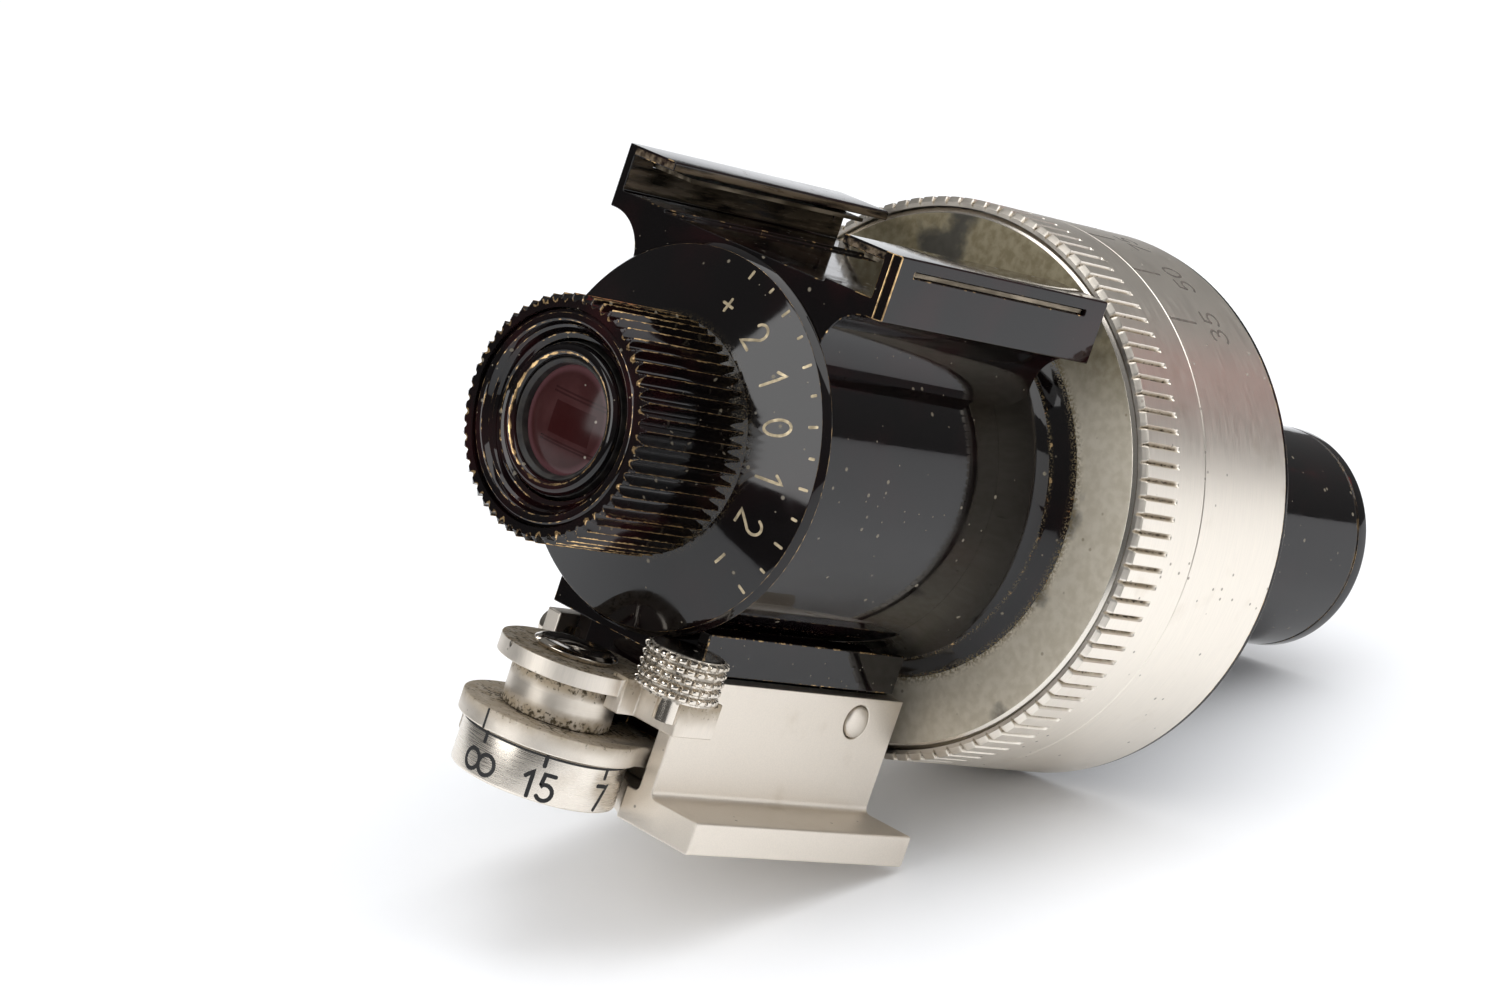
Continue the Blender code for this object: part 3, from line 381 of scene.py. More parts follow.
def around(axis, origin, along, reach, angle):
    across = reach * math.cos(angle)
    other = reach * math.sin(angle)
    if axis == "Y":
        return (origin[0] + across, along, origin[2] + other)
    if axis == "Z":
        return (origin[0] + across, origin[1] + other, along)
    return (along, origin[1] + across, origin[2] + other)


def add_piece(name, mesh, materials, body, nodes):
    for material in materials:
        mesh.materials.append(material)
    item = bpy.data.objects.new(name, mesh)
    bpy.context.scene.collection.objects.link(item)
    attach(item, body)
    if nodes:
        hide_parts(*nodes)
    return item


def finish_mesh(builder, name, angle=32):
    bmesh.ops.recalc_face_normals(builder, faces=builder.faces)
    mesh = bpy.data.meshes.new(name)
    builder.to_mesh(mesh)
    builder.free()
    mesh.shade_smooth()
    mesh.set_sharp_from_angle(angle=math.radians(angle))
    return mesh


def lathe_mesh(name, profile, axis, origin, segments, rule=None):
    """Spins a closed profile of (along, reach, wear). The rule may move a point, and paints its grime."""
    builder = bmesh.new()
    wear_layer = builder.verts.layers.float.new("wear")
    grime_layer = builder.verts.layers.float.new("grime")
    rings = []
    for along, reach, wear in profile:
        ring = []
        for step in range(segments):
            angle = TAU * step / segments
            point = (along, reach, wear, 0.0)
            if rule:
                point = rule(along, reach, wear, angle)
            if reach < TINY and ring:
                ring.append(ring[0])
                continue
            vertex = builder.verts.new(around(axis, origin, point[0], point[1], angle))
            vertex[wear_layer] = point[2]
            vertex[grime_layer] = point[3]
            ring.append(vertex)
        rings.append(ring)
    for index, ring in enumerate(rings):
        following = rings[(index + 1) % len(rings)]
        if ring[0] is ring[1] and following[0] is following[1]:
            continue
        for step in range(segments):
            turn = (step + 1) % segments
            loop = []
            for corner in (ring[step], ring[turn], following[turn], following[step]):
                if corner not in loop:
                    loop.append(corner)
            builder.faces.new(loop)
    return finish_mesh(builder, name)


def lathe(name, profile, material, body, nodes, axis="Y", origin=AXIS, segments=160, rule=None,
          edge=0.08 * MM, longest=1.0, even=True):
    """A turned piece from a closed outline of (along, reach), its corners rounded by edge.

    Without an edge the outline is taken as it is, with its wear as the third value.
    """
    points = profile if edge is None else softened(profile, edge)
    mesh = lathe_mesh(name, divided(points, longest), axis, origin, segments, rule)
    item = add_piece(name, mesh, [material], body, nodes)
    if even:
        even_normals(item)
    return item


def even_normals(item):
    """Keeps flat and turned faces evenly lit right up to their rounded edges."""
    item.modifiers.new("normals", "WEIGHTED_NORMAL").keep_sharp = True


def block_mesh(name, outline, axis, start, end):
    """Extrudes a closed outline of the two other coordinates, in order, along an axis."""
    builder = bmesh.new()
    ends = []
    for along in (start, end):
        row = []
        for point in outline:
            u, v = point[:2]
            place = {"X": (along, u, v), "Y": (u, along, v), "Z": (u, v, along)}[axis]
            row.append(builder.verts.new(place))
        ends.append(row)
    builder.faces.new(ends[0])
    builder.faces.new(ends[1])
    for index in range(len(outline)):
        turn = (index + 1) % len(outline)
        builder.faces.new((ends[0][index], ends[0][turn], ends[1][turn], ends[1][index]))
    return finish_mesh(builder, name)


def rectangle(left, right, bottom, top):
    return [(left, bottom), (right, bottom), (right, top), (left, top)]


def mirrored(outline):
    """The left half that matches a right half, in the order that closes the outline."""
    return [(-x, z, rounding) for x, z, rounding in reversed(outline)]


def rod_mesh(name, axis, start, end, radius, origin, segments=48):
    profile = [(start, 0.0, 0.0), (start, radius, 0.0), (end, radius, 0.0), (end, 0.0, 0.0)]
    return lathe_mesh(name, profile, axis, origin, segments)


def shape_with(item, tool_mesh, operation):
    """Cuts a tool out of a piece or joins it on, and leaves the result as the piece's own mesh."""
    tool = bpy.data.objects.new(tool_mesh.name, tool_mesh)
    bpy.context.scene.collection.objects.link(tool)
    change = item.modifiers.new("shape", "BOOLEAN")
    change.operation = operation
    change.solver = "EXACT"
    change.object = tool
    settle(item)
    bpy.data.objects.remove(tool)


def cut(item, mesh):
    shape_with(item, mesh, "DIFFERENCE")


def join(item, mesh):
    shape_with(item, mesh, "UNION")


def drill(item, radius, place, top):
    """An upright hole through everything below a height."""
    cut(item, rod_mesh("tool", "Z", 0, top, radius, (place[0], place[1], 0.0)))


def settle(item):
    """Replaces a piece's mesh with what its modifiers make of it."""
    graph = bpy.context.evaluated_depsgraph_get()
    mesh = bpy.data.meshes.new_from_object(item.evaluated_get(graph))
    item.modifiers.clear()
    item.data = mesh


def round_edges(item, width, segments, angle=35):
    """Rounds a piece's sharp edges; the rounded strips take the piece's second material, if it has one."""
    bevel = item.modifiers.new("edges", "BEVEL")
    bevel.width = width
    bevel.segments = segments
    bevel.limit_method = "ANGLE"
    bevel.angle_limit = math.radians(angle)
    bevel.miter_outer = "MITER_ARC"
    bevel.harden_normals = True
    bevel.use_clamp_overlap = False
    if len(item.data.materials) > 1:
        bevel.material = 1
    settle(item)


# ---------------------------------------------------------------- engraved lines and numerals

def figure_eight():
    """The infinity sign in one stroke: a round loop at the left, then one at the right."""
    return [bow(0.46, 0.5, 0.46, 0.48, 0, 360, 20) + bow(1.38, 0.5, -0.46, 0.48, 0, 360, 20)[1:]]


GLYPHS = {
    "0": (0.62, [bow(0.31, 0.5, 0.29, 0.5, 90, 450, 28)]),
    "1": (0.40, [[(0.04, 0.74), (0.30, 1.0), (0.30, 0.0)]]),
    "2": (0.62, [bow(0.31, 0.70, 0.28, 0.30, 165, -35) + [(0.03, 0.0), (0.60, 0.0)]]),
    "3": (0.62, [bow(0.29, 0.76, 0.25, 0.24, 150, -90) + bow(0.29, 0.27, 0.30, 0.27, 90, -150)]),
    "5": (0.62, [[(0.56, 1.0), (0.14, 1.0), (0.09, 0.56)] + bow(0.28, 0.31, 0.31, 0.31, 128, -145)]),
    "7": (0.60, [[(0.03, 1.0), (0.58, 1.0), (0.20, 0.0)]]),
    "9": (0.62, [bow(0.31, 0.69, 0.28, 0.31, -10, 350, 24), bow(0.05, 0.69, 0.54, 0.69, 0, -80, 10)]),
    "+": (0.62, [[(0.05, 0.5), (0.55, 0.5)], [(0.30, 0.25), (0.30, 0.75)]]),
    "-": (0.62, [[(0.05, 0.5), (0.55, 0.5)]]),
    "oo": (1.80, figure_eight()),
}


def text_lines(text, height, across=0.0, up=0.0, spacing=0.22):
    """The strokes of a text, centred at a point, in metres."""
    signs = [text] if text == "oo" else list(text)
    total = sum(GLYPHS[sign][0] for sign in signs) + spacing * (len(signs) - 1)
    cursor = -total / 2
    lines = []
    for sign in signs:
        width, strokes = GLYPHS[sign]
        for stroke in strokes:
            lines.append([(across + (cursor + u) * height, up + (v - 0.5) * height) for u, v in stroke])
        cursor += width + spacing
    return lines


def engrave(name, lines, surface, width, material, body, sink=0.03 * MM, proud=0.006 * MM):
    """Lays strokes on a surface. The surface turns (u, v) into a point and its outward normal."""
    builder = bmesh.new()
    for line in lines:
        line = extended(line, width * 0.35)
        rows = []
        for index, point in enumerate(line):
            place, normal = surface(*point)
            before = surface(*line[max(index - 1, 0)])[0]
            after = surface(*line[min(index + 1, len(line) - 1)])[0]
            ahead = (after - before).normalized()
            side = normal.cross(ahead).normalized()
            half = width / 2 * (0.6 if index in (0, len(line) - 1) else mitre(line, index))
            row = []
            for across, out in ((-half, -sink), (half, -sink), (half, proud), (-half, proud)):
                row.append(builder.verts.new(place + side * across + normal * out))
            rows.append(row)
        for near, far in zip(rows, rows[1:]):
            for corner in range(4):
                turn = (corner + 1) % 4
                builder.faces.new((near[corner], near[turn], far[turn], far[corner]))
        builder.faces.new(rows[0])
        builder.faces.new(rows[-1][::-1])
    mesh = finish_mesh(builder, name)
    return add_piece(name, mesh, [material], body, ())


def extended(line, extra):
    """The line with its straight runs divided and a short tapered end added at both ends."""
    points = [Vector(point) for point in line]
    first = points[0] + (points[0] - points[1]).normalized() * extra
    last = points[-1] + (points[-1] - points[-2]).normalized() * extra
    dense = [first]
    for start, end in zip(points, points[1:]):
        pieces = max(1, int((end - start).length / (0.25 * MM)))
        for piece in range(pieces):
            dense.append(start.lerp(end, piece / pieces))
    return [tuple(point) for point in dense + [points[-1], last]]


def mitre(line, index):
    if index in (0, len(line) - 1):
        return 1.0
    here = Vector(line[index])
    back = here - Vector(line[index - 1])
    ahead = Vector(line[index + 1]) - here
    if back.length < TINY or ahead.length < TINY:
        return 1.0
    return min(1 / max(math.cos(back.angle(ahead) / 2), 0.5), 1.6)


def upright_surface(origin, radius, height):
    """Round a vertical axis, read from outside: u runs to the right from the -Y side, v runs up."""
    def surface(u, v):
        angle = u / radius
        normal = Vector((math.sin(angle), -math.cos(angle), 0))
        return Vector((origin[0], origin[1], height + v)) + normal * radius, normal
    return surface


def ring_surface(radius, station):
    """Round the optical axis: u runs up from the +X side, and v runs to -Y."""
    def surface(u, v):
        angle = u / radius
        normal = Vector((math.cos(angle), 0, math.sin(angle)))
        return Vector((0, station - v, AXIS[2])) + normal * radius, normal
    return surface


# ---------------------------------------------------------------- eyepiece

EYE_REAR = low("eyepiece_shell").y
EYE_FRONT = high("eyepiece_shell").y
EYE_CREST = reach_of("eyepiece_shell")
EYE_ROOT = EYE_CREST - 0.50 * MM
EYE_SEAT = reach_of("eyepiece_bezel") + 0.03 * MM


def flute_reach(angle):
    phase = angle / TAU * FLUTES % 1.0
    return EYE_ROOT + (EYE_CREST - EYE_ROOT) * abs(2 * phase - 1) ** 1.7


def fluted(along, reach, wear, angle):
    """Sharp crests with round valleys between, and brass along the crests and round the chamfered ends."""
    limit = flute_reach(angle)
    if reach < EYE_ROOT - 0.01 * MM:
        return along, reach, 0.0, 0.0
    crest = max(0.0, 1 - (EYE_CREST - limit) / (0.12 * MM))
    from_end = min(along - EYE_REAR, EYE_FRONT - along)
    if reach <= limit:
        rim = max(0.0, 1 - (limit - reach) / (0.07 * MM))
        return along, reach, rim, 0.0
    settled = (1 - crest) * 0.22 * max(0.0, (along - EYE_REAR) / (EYE_FRONT - EYE_REAR)) ** 8
    ends = max(0.0, 1 - from_end / (0.45 * MM)) * 0.8
    return along, limit, max(crest * 1.12, ends), settled


def make_eyepiece(black):
    bevel = 0.26 * MM
    bore = EYE_CREST - 1.45 * MM
    profile = [(EYE_REAR + 1.7 * MM, bore, 0), (EYE_REAR + 1.7 * MM, EYE_SEAT, 0), (EYE_REAR, EYE_SEAT, 0)]
    profile.append((EYE_REAR, EYE_CREST - 0.34 * MM, 0))
    for share in shares(9):
        profile.append((EYE_REAR + bevel * share, EYE_CREST - 0.34 * MM * (1 - share), 0))
    for share in (0.06, 0.14, 0.3, 0.5, 0.7, 0.86, 0.94):
        profile.append((EYE_REAR + bevel + (EYE_FRONT - EYE_REAR - 2 * bevel) * share, EYE_CREST, 0))
    for share in shares(9):
        profile.append((EYE_FRONT - bevel * (1 - share), EYE_CREST - 0.55 * MM * share, 0))
    profile.append((EYE_FRONT, bore, 0))
    lathe("eyepiece_grip", profile, black, "eyepiece", ["eyepiece_shell"],
          segments=FLUTES * 12, rule=fluted, edge=None, even=False)

    inner = EYE_SEAT - 0.95 * MM
    rear = EYE_REAR
    well = reach_of("eye_cell") + 0.09 * MM
    bezel = [
        (rear + 1.6 * MM, well, 0.0),
        (rear + 1.05 * MM, well, 0.03 * MM),
        (rear + 0.98 * MM, well + 0.30 * MM, 0.4 * MM),
        (rear + 0.60 * MM, inner - 0.02 * MM, 0.02 * MM),
        (rear + 0.48 * MM, inner + 0.12 * MM, 0.10 * MM),
        (rear + 0.10 * MM, inner + 0.30 * MM, 0.20 * MM),
        (rear + 0.10 * MM, EYE_SEAT - 0.26 * MM, 0.20 * MM),
        (rear + 0.22 * MM, EYE_SEAT - 0.05 * MM, 0.06 * MM),
        (rear + 1.6 * MM, EYE_SEAT - 0.05 * MM),
    ]
    lathe("eyepiece_rim", bezel, black, "eyepiece", ["eyepiece_bezel"], segments=128,
          rule=lambda along, reach, wear, angle: (along, reach, wear * 0.72, 0.0))


def make_eye_lens(black):
    """Lens in its retaining ring, with the round-sectioned ring standing round it."""
    ring_low, ring_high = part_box("eye_lens_retainer")
    outer = reach_of("eye_lens_retainer")
    inner = outer - 0.78 * MM
    middle = (outer + inner) / 2
    bead = (outer - inner) / 2
    worn_at, worn_width = 0.68333, 0.18333
    profile = []
    for share in shares(12):
        angle = math.pi * (0.06 + 0.88 * share)
        wear = max(0.0, 1 - abs(share - worn_at) / worn_width)
        profile.append((ring_low.y + bead * (1 - math.sin(angle)), middle + bead * math.cos(angle), wear))
    profile += [(ring_high.y, inner, 0.0), (ring_high.y, outer, 0.0)]
    lathe("eye_lens_ring", profile, black, "lens_cell", ["eye_lens_retainer"],
          segments=128, edge=None, even=False)

    lens_low, lens_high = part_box("eye_lens")
    radius = reach_of("eye_lens") * 0.985
    funnel = [
        (ring_low.y + 0.35 * MM, inner - 0.01 * MM),
        (ring_low.y + 0.28 * MM, inner - 0.10 * MM, 0.04 * MM),
        (lens_low.y + 0.05 * MM, 2.98 * MM, 0.04 * MM),
        (lens_low.y + 0.45 * MM, 2.92 * MM),
        (lens_low.y + 0.50 * MM, inner - 0.01 * MM),
    ]
    lathe("eye_lens_seat", funnel, dull_black("seat_black"), "lens_cell", (),
          segments=96, edge=0.03 * MM)

    bulge = 0.55 * MM
    surface = [(lens_low.y + bulge * share ** 2, radius * share, 0.0) for share in shares(10)]
    surface += [(lens_high.y, radius, 0.0), (lens_high.y, 0.0, 0.0)]
    lathe("eye_lens_glass", surface, eye_glass(), "lens_cell", ["eye_lens"],
          segments=96, edge=None)


def eye_glass():
    """The mask seen through the eye lens: a dark window between two pairs of lines on plum glass."""
    f = Finish("eye_lens_glass")
    across = f.parts()[0]
    up = f.less(f.parts()[2], AXIS[2])

    def band(value, middle, half):
        away = f.maths("ABSOLUTE", f.less(value, middle))
        return f.ramp(away, half, half + 0.03 * MM, 1.0, 0.0)

    window = f.times(band(across, 0.55 * MM, 1.42 * MM), band(up, -0.05 * MM, 0.86 * MM))
    lines = 0.0
    for middle in (1.22, 1.42, -1.24, -1.40):
        lines = f.most(lines, band(up, middle * MM, 0.035 * MM))
    lines = f.times(lines, band(across, 0.75 * MM, 2.1 * MM))
    rim = f.ramp(f.away_from((0, low("eye_lens").y, AXIS[2])), 2.45 * MM, 2.85 * MM)
    cloud = f.noise(1.6 * MM, detail=4.0)
    plum = f.mix(f.ramp(cloud, 0.3, 0.7), (0.030, 0.009, 0.009), (0.040, 0.014, 0.014))
    colour = f.mix(rim, plum, (0.085, 0.036, 0.040))
    colour = f.mix(f.times(lines, 0.75), colour, (0.016, 0.004, 0.004))
    colour = f.mix(f.times(window, 0.85), colour, (0.020, 0.003, 0.003))
    colour = f.mix(f.times(f.specks(0.5 * MM, 0.06), 0.6), colour, (0.4, 0.36, 0.3))
    return f.done(Base_Color=colour, Roughness=f.ramp(cloud, 0.3, 0.7, 0.10, 0.20), IOR=1.3,
                  Normal=f.bump(cloud, 0.002 * MM, 0.4))


# ---------------------------------------------------------------- finder body

COVER_FRONT = low("barrel").y - 0.05 * MM
COVER_RADIUS = reach_of("rear_cover")
CONE_REAR = EYE_FRONT + 0.12 * MM
CONE_EDGE = COVER_FRONT - 0.56 * MM
CONE_EDGE_RADIUS = COVER_RADIUS - 0.28 * MM
BARREL_RADIUS = reach_of("barrel")


def make_cover(black):
    hub = EYE_CREST - 0.3 * MM
    spigot = BARREL_RADIUS - 1.05 * MM
    bore = 4.4 * MM
    neck = 5.05 * MM
    profile = [
        (low("rear_cover").y, bore),
        (low("rear_cover").y, neck),
        (CONE_REAR, neck, 0.0),
        (CONE_REAR, hub, 0.02 * MM),
        (CONE_EDGE, CONE_EDGE_RADIUS, 0.05 * MM),
        (COVER_FRONT - 0.40 * MM, COVER_RADIUS - 0.17 * MM, 0.03 * MM),
        (COVER_FRONT - 0.10 * MM, COVER_RADIUS, 0.05 * MM),
        (COVER_FRONT, COVER_RADIUS - 0.06 * MM, 0.02 * MM),
        (COVER_FRONT, spigot),
        (high("rear_cover").y, spigot),
        (high("rear_cover").y, spigot - 0.9 * MM),
    ]

    def rim_wear(along, reach, wear, angle):
        dust = max(0.0, 1 - (reach - EYE_CREST) / (0.25 * MM)) * 0.12 if along < CONE_EDGE else 0.0
        keep = 1.0 if reach > CONE_EDGE_RADIUS - 0.3 * MM and along < COVER_FRONT else 0.0
        return along, reach, wear * keep * 0.85, dust

    lathe("rear_cover_shell", profile, black, "finder", ["rear_cover"], segments=192,
          rule=rim_wear, longest=0.2 * MM)
    make_cover_scale()


def make_cover_scale():
    """A plain dioptre scale engraved on the cone: ticks and numbers, from plus over nought to minus."""
    nought_at = math.radians(22)
    slope = Vector((CONE_EDGE_RADIUS - EYE_CREST + 0.3 * MM, CONE_EDGE - CONE_REAR))
    length = slope.length
    slope.normalize()
    middle = (CONE_EDGE_RADIUS + EYE_CREST) / 2 + 0.1 * MM
    base = CONE_REAR + (middle - EYE_CREST + 0.3 * MM) * slope.y / slope.x

    def surface(u, v):
        angle = nought_at - u / middle
        reach = middle + v * slope.x
        outward = Vector((math.cos(angle), 0, math.sin(angle)))
        normal = outward * slope.y + Vector((0, -slope.x, 0))
        point = outward * reach + Vector((0, base + v * slope.y, AXIS[2]))
        return point, normal.normalized()

    lines = []
    spacing = math.radians(19) * middle
    outer_end = length * 0.5 - 0.55 * MM
    for place, text in enumerate(("+", "2", "1", "0", "1", "2", "-"), -3):
        along = place * spacing
        lines.append([(along, outer_end - 0.45 * MM), (along, outer_end)])
        if place < 3:
            between = along + spacing / 2
            lines.append([(between, outer_end - 0.25 * MM), (between, outer_end)])
        lines += text_lines(text, 1.55 * MM, along, -0.62 * MM)
    engrave("cover_scale", lines, surface, 0.16 * MM, filled("scale_bronze", (0.46, 0.38, 0.25), 0.6, 0.35),
            "finder")


def make_barrel(black):
    rear, front = low("barrel").y, high("barrel").y
    bore = BARREL_RADIUS - 0.9 * MM
    tube = [(rear, bore), (rear, BARREL_RADIUS), (front, BARREL_RADIUS), (front, bore)]
    lathe("barrel_tube", tube, black, "finder", ["barrel"], segments=192)

    collar = reach_of("front_collar")
    cove_rear = low("front_collar").y
    band_rear = front - 1.15 * MM
    band_radius = collar - 0.95 * MM
    seat = BARREL_RADIUS + 0.02 * MM
    profile = [(front, seat - 0.1 * MM, 0.0), (cove_rear, seat - 0.1 * MM, 0.0)]
    for share in shares(14):
        rise = (band_radius - seat) * share ** 3.2
        along = cove_rear + (band_rear - cove_rear) * share
        profile.append((along, seat - 0.015 * MM + rise, 0.5 if share == 1 else 0.0))
    profile.append((band_rear + 0.08 * MM, band_radius + 0.10 * MM, 0.45))
    profile.append((front - 0.35 * MM, collar - 0.30 * MM, 0.0))
    profile.append((front, collar, 0.0))

    def dusty(along, reach, wear, angle):
        near_disc = max(0.0, 1 - (front - along) / (0.3 * MM))
        near_band = max(0.0, 1 - abs(along - band_rear) / (0.12 * MM)) * 0.6
        return along, reach, wear, max(near_disc, near_band) if reach > seat + 0.2 * MM else 0.0

    lathe("front_cove", profile, black, "finder", ["front_collar"], segments=192,
          rule=dusty, edge=None, longest=0.1 * MM)


def make_shoe(black, worn):
    """The shoe's channel on its saddle, whose sides run out in a curve that meets the barrel."""
    lo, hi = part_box("shoe_bracket")
    centre = AXIS[2]
    outer, top = hi.x, hi.z
    inner = outer - 0.89 * MM
    gap = outer - 3.95 * MM
    lip = top - 0.53 * MM
    floor = top - 2.58 * MM
    wall = top - 3.60 * MM
    fillet_x = outer - 0.67 * MM
    drop = wall - centre
    sunk = BARREL_RADIUS - 0.03 * MM
    fillet = (fillet_x ** 2 + drop ** 2 - sunk ** 2) / (2 * (sunk + drop))
    start = math.degrees(math.atan2(drop - fillet, fillet_x))
    right = [
        (inner, floor, 0.10 * MM),
        (inner, lip, 0.12 * MM),
        (gap, lip, 0.10 * MM),
        (gap, top, 0.16 * MM),
        (outer, top, 0.14 * MM),
        (outer, wall, 0.10 * MM),
    ]
    right += unworn(bow(fillet_x, wall - fillet, fillet, fillet, 90, 180 + start, 24))
    seat = BARREL_RADIUS - 0.35 * MM
    saddle = unworn(bow(0, centre, seat, seat, start, 180 - start, 40))
    outline = softened(right + saddle + mirrored(right), 0.0, 5)
    mesh = block_mesh("shoe_channel", outline, "Y", lo.y, hi.y)
    item = add_piece("shoe_channel", mesh, [black, worn], "finder", ["shoe_bracket"])
    recess = rectangle(-6.1 * MM, 6.1 * MM, lo.y - MM, hi.y + MM)
    cut(item, block_mesh("tool", recess, "Z", floor - 0.2 * MM, floor + 0.3 * MM))
    notch = 0.37 * MM
    for side, strip in ((-1, "shoe_spring_left"), (1, "shoe_spring_right")):
        strip_low, strip_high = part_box(strip)
        near, far = sorted((side * (gap + 0.4 * MM), side * (outer + MM)))
        slot = rectangle(near, far, strip_low.y - 0.1 * MM, strip_high.y + 0.1 * MM)
        cut(item, block_mesh("tool", slot, "Z", strip_low.z - 0.05 * MM, strip_high.z + 0.08 * MM))
        corner = [(side * outer, lo.y - notch), (side * (outer + notch * 2), lo.y)]
        corner += [(side * outer, lo.y + notch), (side * (outer - notch), lo.y)]
        corner = [(x + side * TINY, y) for x, y in corner]
        cut(item, block_mesh("tool", corner, "Z", wall - MM, top + MM))
    round_edges(item, 0.055 * MM, 2)


def make_carrier(dusty):
    rear, front = low("carrier_plate").y, high("carrier_plate").y
    face = low("focal_length_ring").y
    rim = reach_of("carrier_plate")
    hub = BARREL_RADIUS - 1.0 * MM
    collar = reach_of("front_collar")
    profile = [
        (rear, hub - 0.7 * MM),
        (rear, hub),
        (face, hub, 0.0),
        (face, collar + 0.3 * MM, 0.0),
        (face, rim - 0.32 * MM, 0.04 * MM),
        (face + 0.24 * MM, rim - 0.02 * MM, 0.05 * MM),
        (front, rim - 0.02 * MM),
        (front, hub - 0.7 * MM),
    ]

    def dirt(along, reach, wear, angle):
        """The wear marks the bright rim, and the grime the dirt along the collar's edge."""
        edge = 1.0 if reach > rim - 0.33 * MM else 0.0
        settled = max(0.0, 1 - abs(reach - collar) / (0.45 * MM))
        return along, reach, edge, settled

    lathe("carrier_disc", profile, dusty, "finder", ["carrier_plate"], segments=192,
          rule=dirt, longest=0.2 * MM)


# ---------------------------------------------------------------- focal-length ring and front

def make_ring(brushed):
    lo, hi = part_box("focal_length_ring")
    bore = RING_RADIUS - 1.5 * MM
    ribs_start = lo.y + 0.20 * MM
    ribs_end = ribs_start + 2.95 * MM
    step_line = lo.y + 5.67 * MM
    groove = 0.26 * MM

    def ribbed(along, reach, wear, angle):
        """Flat pads with narrow cuts between them, which run out in a curve at the front."""
        if reach < RING_RADIUS - 0.5 * MM or along > ribs_end + 0.02 * MM:
            return along, reach, 0.0, 0.0
        phase = angle / TAU * RIBS % 1.0
        cut = max(0.0, 1 - abs(phase - 0.5) / 0.12) ** 0.5
        run_out = min(1.0, max(0.0, (ribs_end - along) / (0.35 * MM)))
        depth = groove * cut * run_out ** 0.5
        return along, min(reach, RING_RADIUS - depth), 0.0, cut * 0.8 * run_out

    seat = RING_RADIUS - 0.58 * MM
    profile = [
        (lo.y, seat),
        (lo.y, RING_RADIUS - 0.34 * MM),
        (lo.y + 0.15 * MM, RING_RADIUS - 0.10 * MM),
        (ribs_start, RING_RADIUS),
    ]
    for share in (0.1, 0.3, 0.5, 0.7, 0.85, 0.90, 0.94, 0.97, 0.99, 1.0):
        profile.append((ribs_start + (ribs_end - ribs_start) * share, RING_RADIUS))
    profile += [
        (ribs_end + 0.03 * MM, RING_RADIUS),
        (step_line - 0.06 * MM, RING_RADIUS),
        (step_line, RING_RADIUS - 0.05 * MM),
        (step_line + 0.06 * MM, RING_RADIUS),
        (hi.y - 0.12 * MM, RING_RADIUS),
        (hi.y - 0.03 * MM, RING_RADIUS - 0.04 * MM),
        (hi.y, RING_RADIUS - 0.12 * MM),
        (hi.y, bore),
        (lo.y + 1.7 * MM, bore),
        (lo.y + 1.7 * MM, seat),
    ]
    lathe("ring_grip", unworn(profile), brushed, "focal_ring", ["focal_length_ring"],
          segments=RIBS * 12, rule=ribbed, edge=None)

    ink = filled("ring_ink", (0.12, 0.10, 0.085), rough=0.5)
    lines = []
    for text, degrees in (("35", 56), ("50", 70), ("75", 84), ("90", 98), ("135", 112)):
        along = math.radians(degrees) * RING_RADIUS
        lines += text_lines(text, 1.5 * MM, along, -0.9 * MM)
        lines.append([(along, 1.0 * MM), (along, 3.6 * MM)])
    surface = ring_surface(RING_RADIUS, lo.y + 9.4 * MM)
    engrave("ring_numbers", lines, surface, 0.17 * MM, ink, "focal_ring", proud=0.004 * MM)


def make_front(black):
    lo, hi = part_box("front_cap")
    rim = reach_of("front_cap")
    bore = 7.0 * MM
    seat = RING_RADIUS - 1.75 * MM
    flange = high("focal_length_ring").y + 0.05 * MM
    trough = hi.y - 0.25 * MM
    profile = [
        (lo.y, bore),
        (lo.y, seat),
        (flange, seat, 0.0),
        (flange, rim - 0.02 * MM, 0.04 * MM),
        (hi.y - 0.10 * MM, rim, 0.06 * MM),
        (hi.y, rim - 0.35 * MM, 0.06 * MM),
        (hi.y, 12.6 * MM, 0.05 * MM),
        (trough, 12.3 * MM, 0.05 * MM),
        (trough, 9.0 * MM, 0.05 * MM),
        (hi.y, 8.7 * MM, 0.05 * MM),
        (hi.y, bore, 0.03 * MM),
    ]
    lathe("front_plate", profile, black, "finder", ["front_cap"], segments=192)

    tube_low, tube_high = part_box("front_tube")
    outer = bore - 0.02 * MM
    inner = outer - 0.68 * MM
    flange_radius = reach_of("front_tube")
    groove = outer - 0.06 * MM
    tube = [
        (tube_low.y, inner),
        (tube_low.y, flange_radius),
        (lo.y - 0.05 * MM, flange_radius),
        (lo.y - 0.05 * MM, outer, 0.0),
        (tube_high.y - 1.25 * MM, outer, 0.03 * MM),
        (tube_high.y - 1.18 * MM, groove, 0.03 * MM),
        (tube_high.y - 1.05 * MM, groove, 0.03 * MM),
        (tube_high.y - 0.98 * MM, outer, 0.03 * MM),
        (tube_high.y, outer, 0.18 * MM),
        (tube_high.y, inner + 0.15 * MM, 0.06 * MM),
        (tube_high.y - 0.5 * MM, inner),
    ]
    lathe("front_barrel", tube, black, "finder", ["front_tube"], segments=128)


# ---------------------------------------------------------------- foot and base block

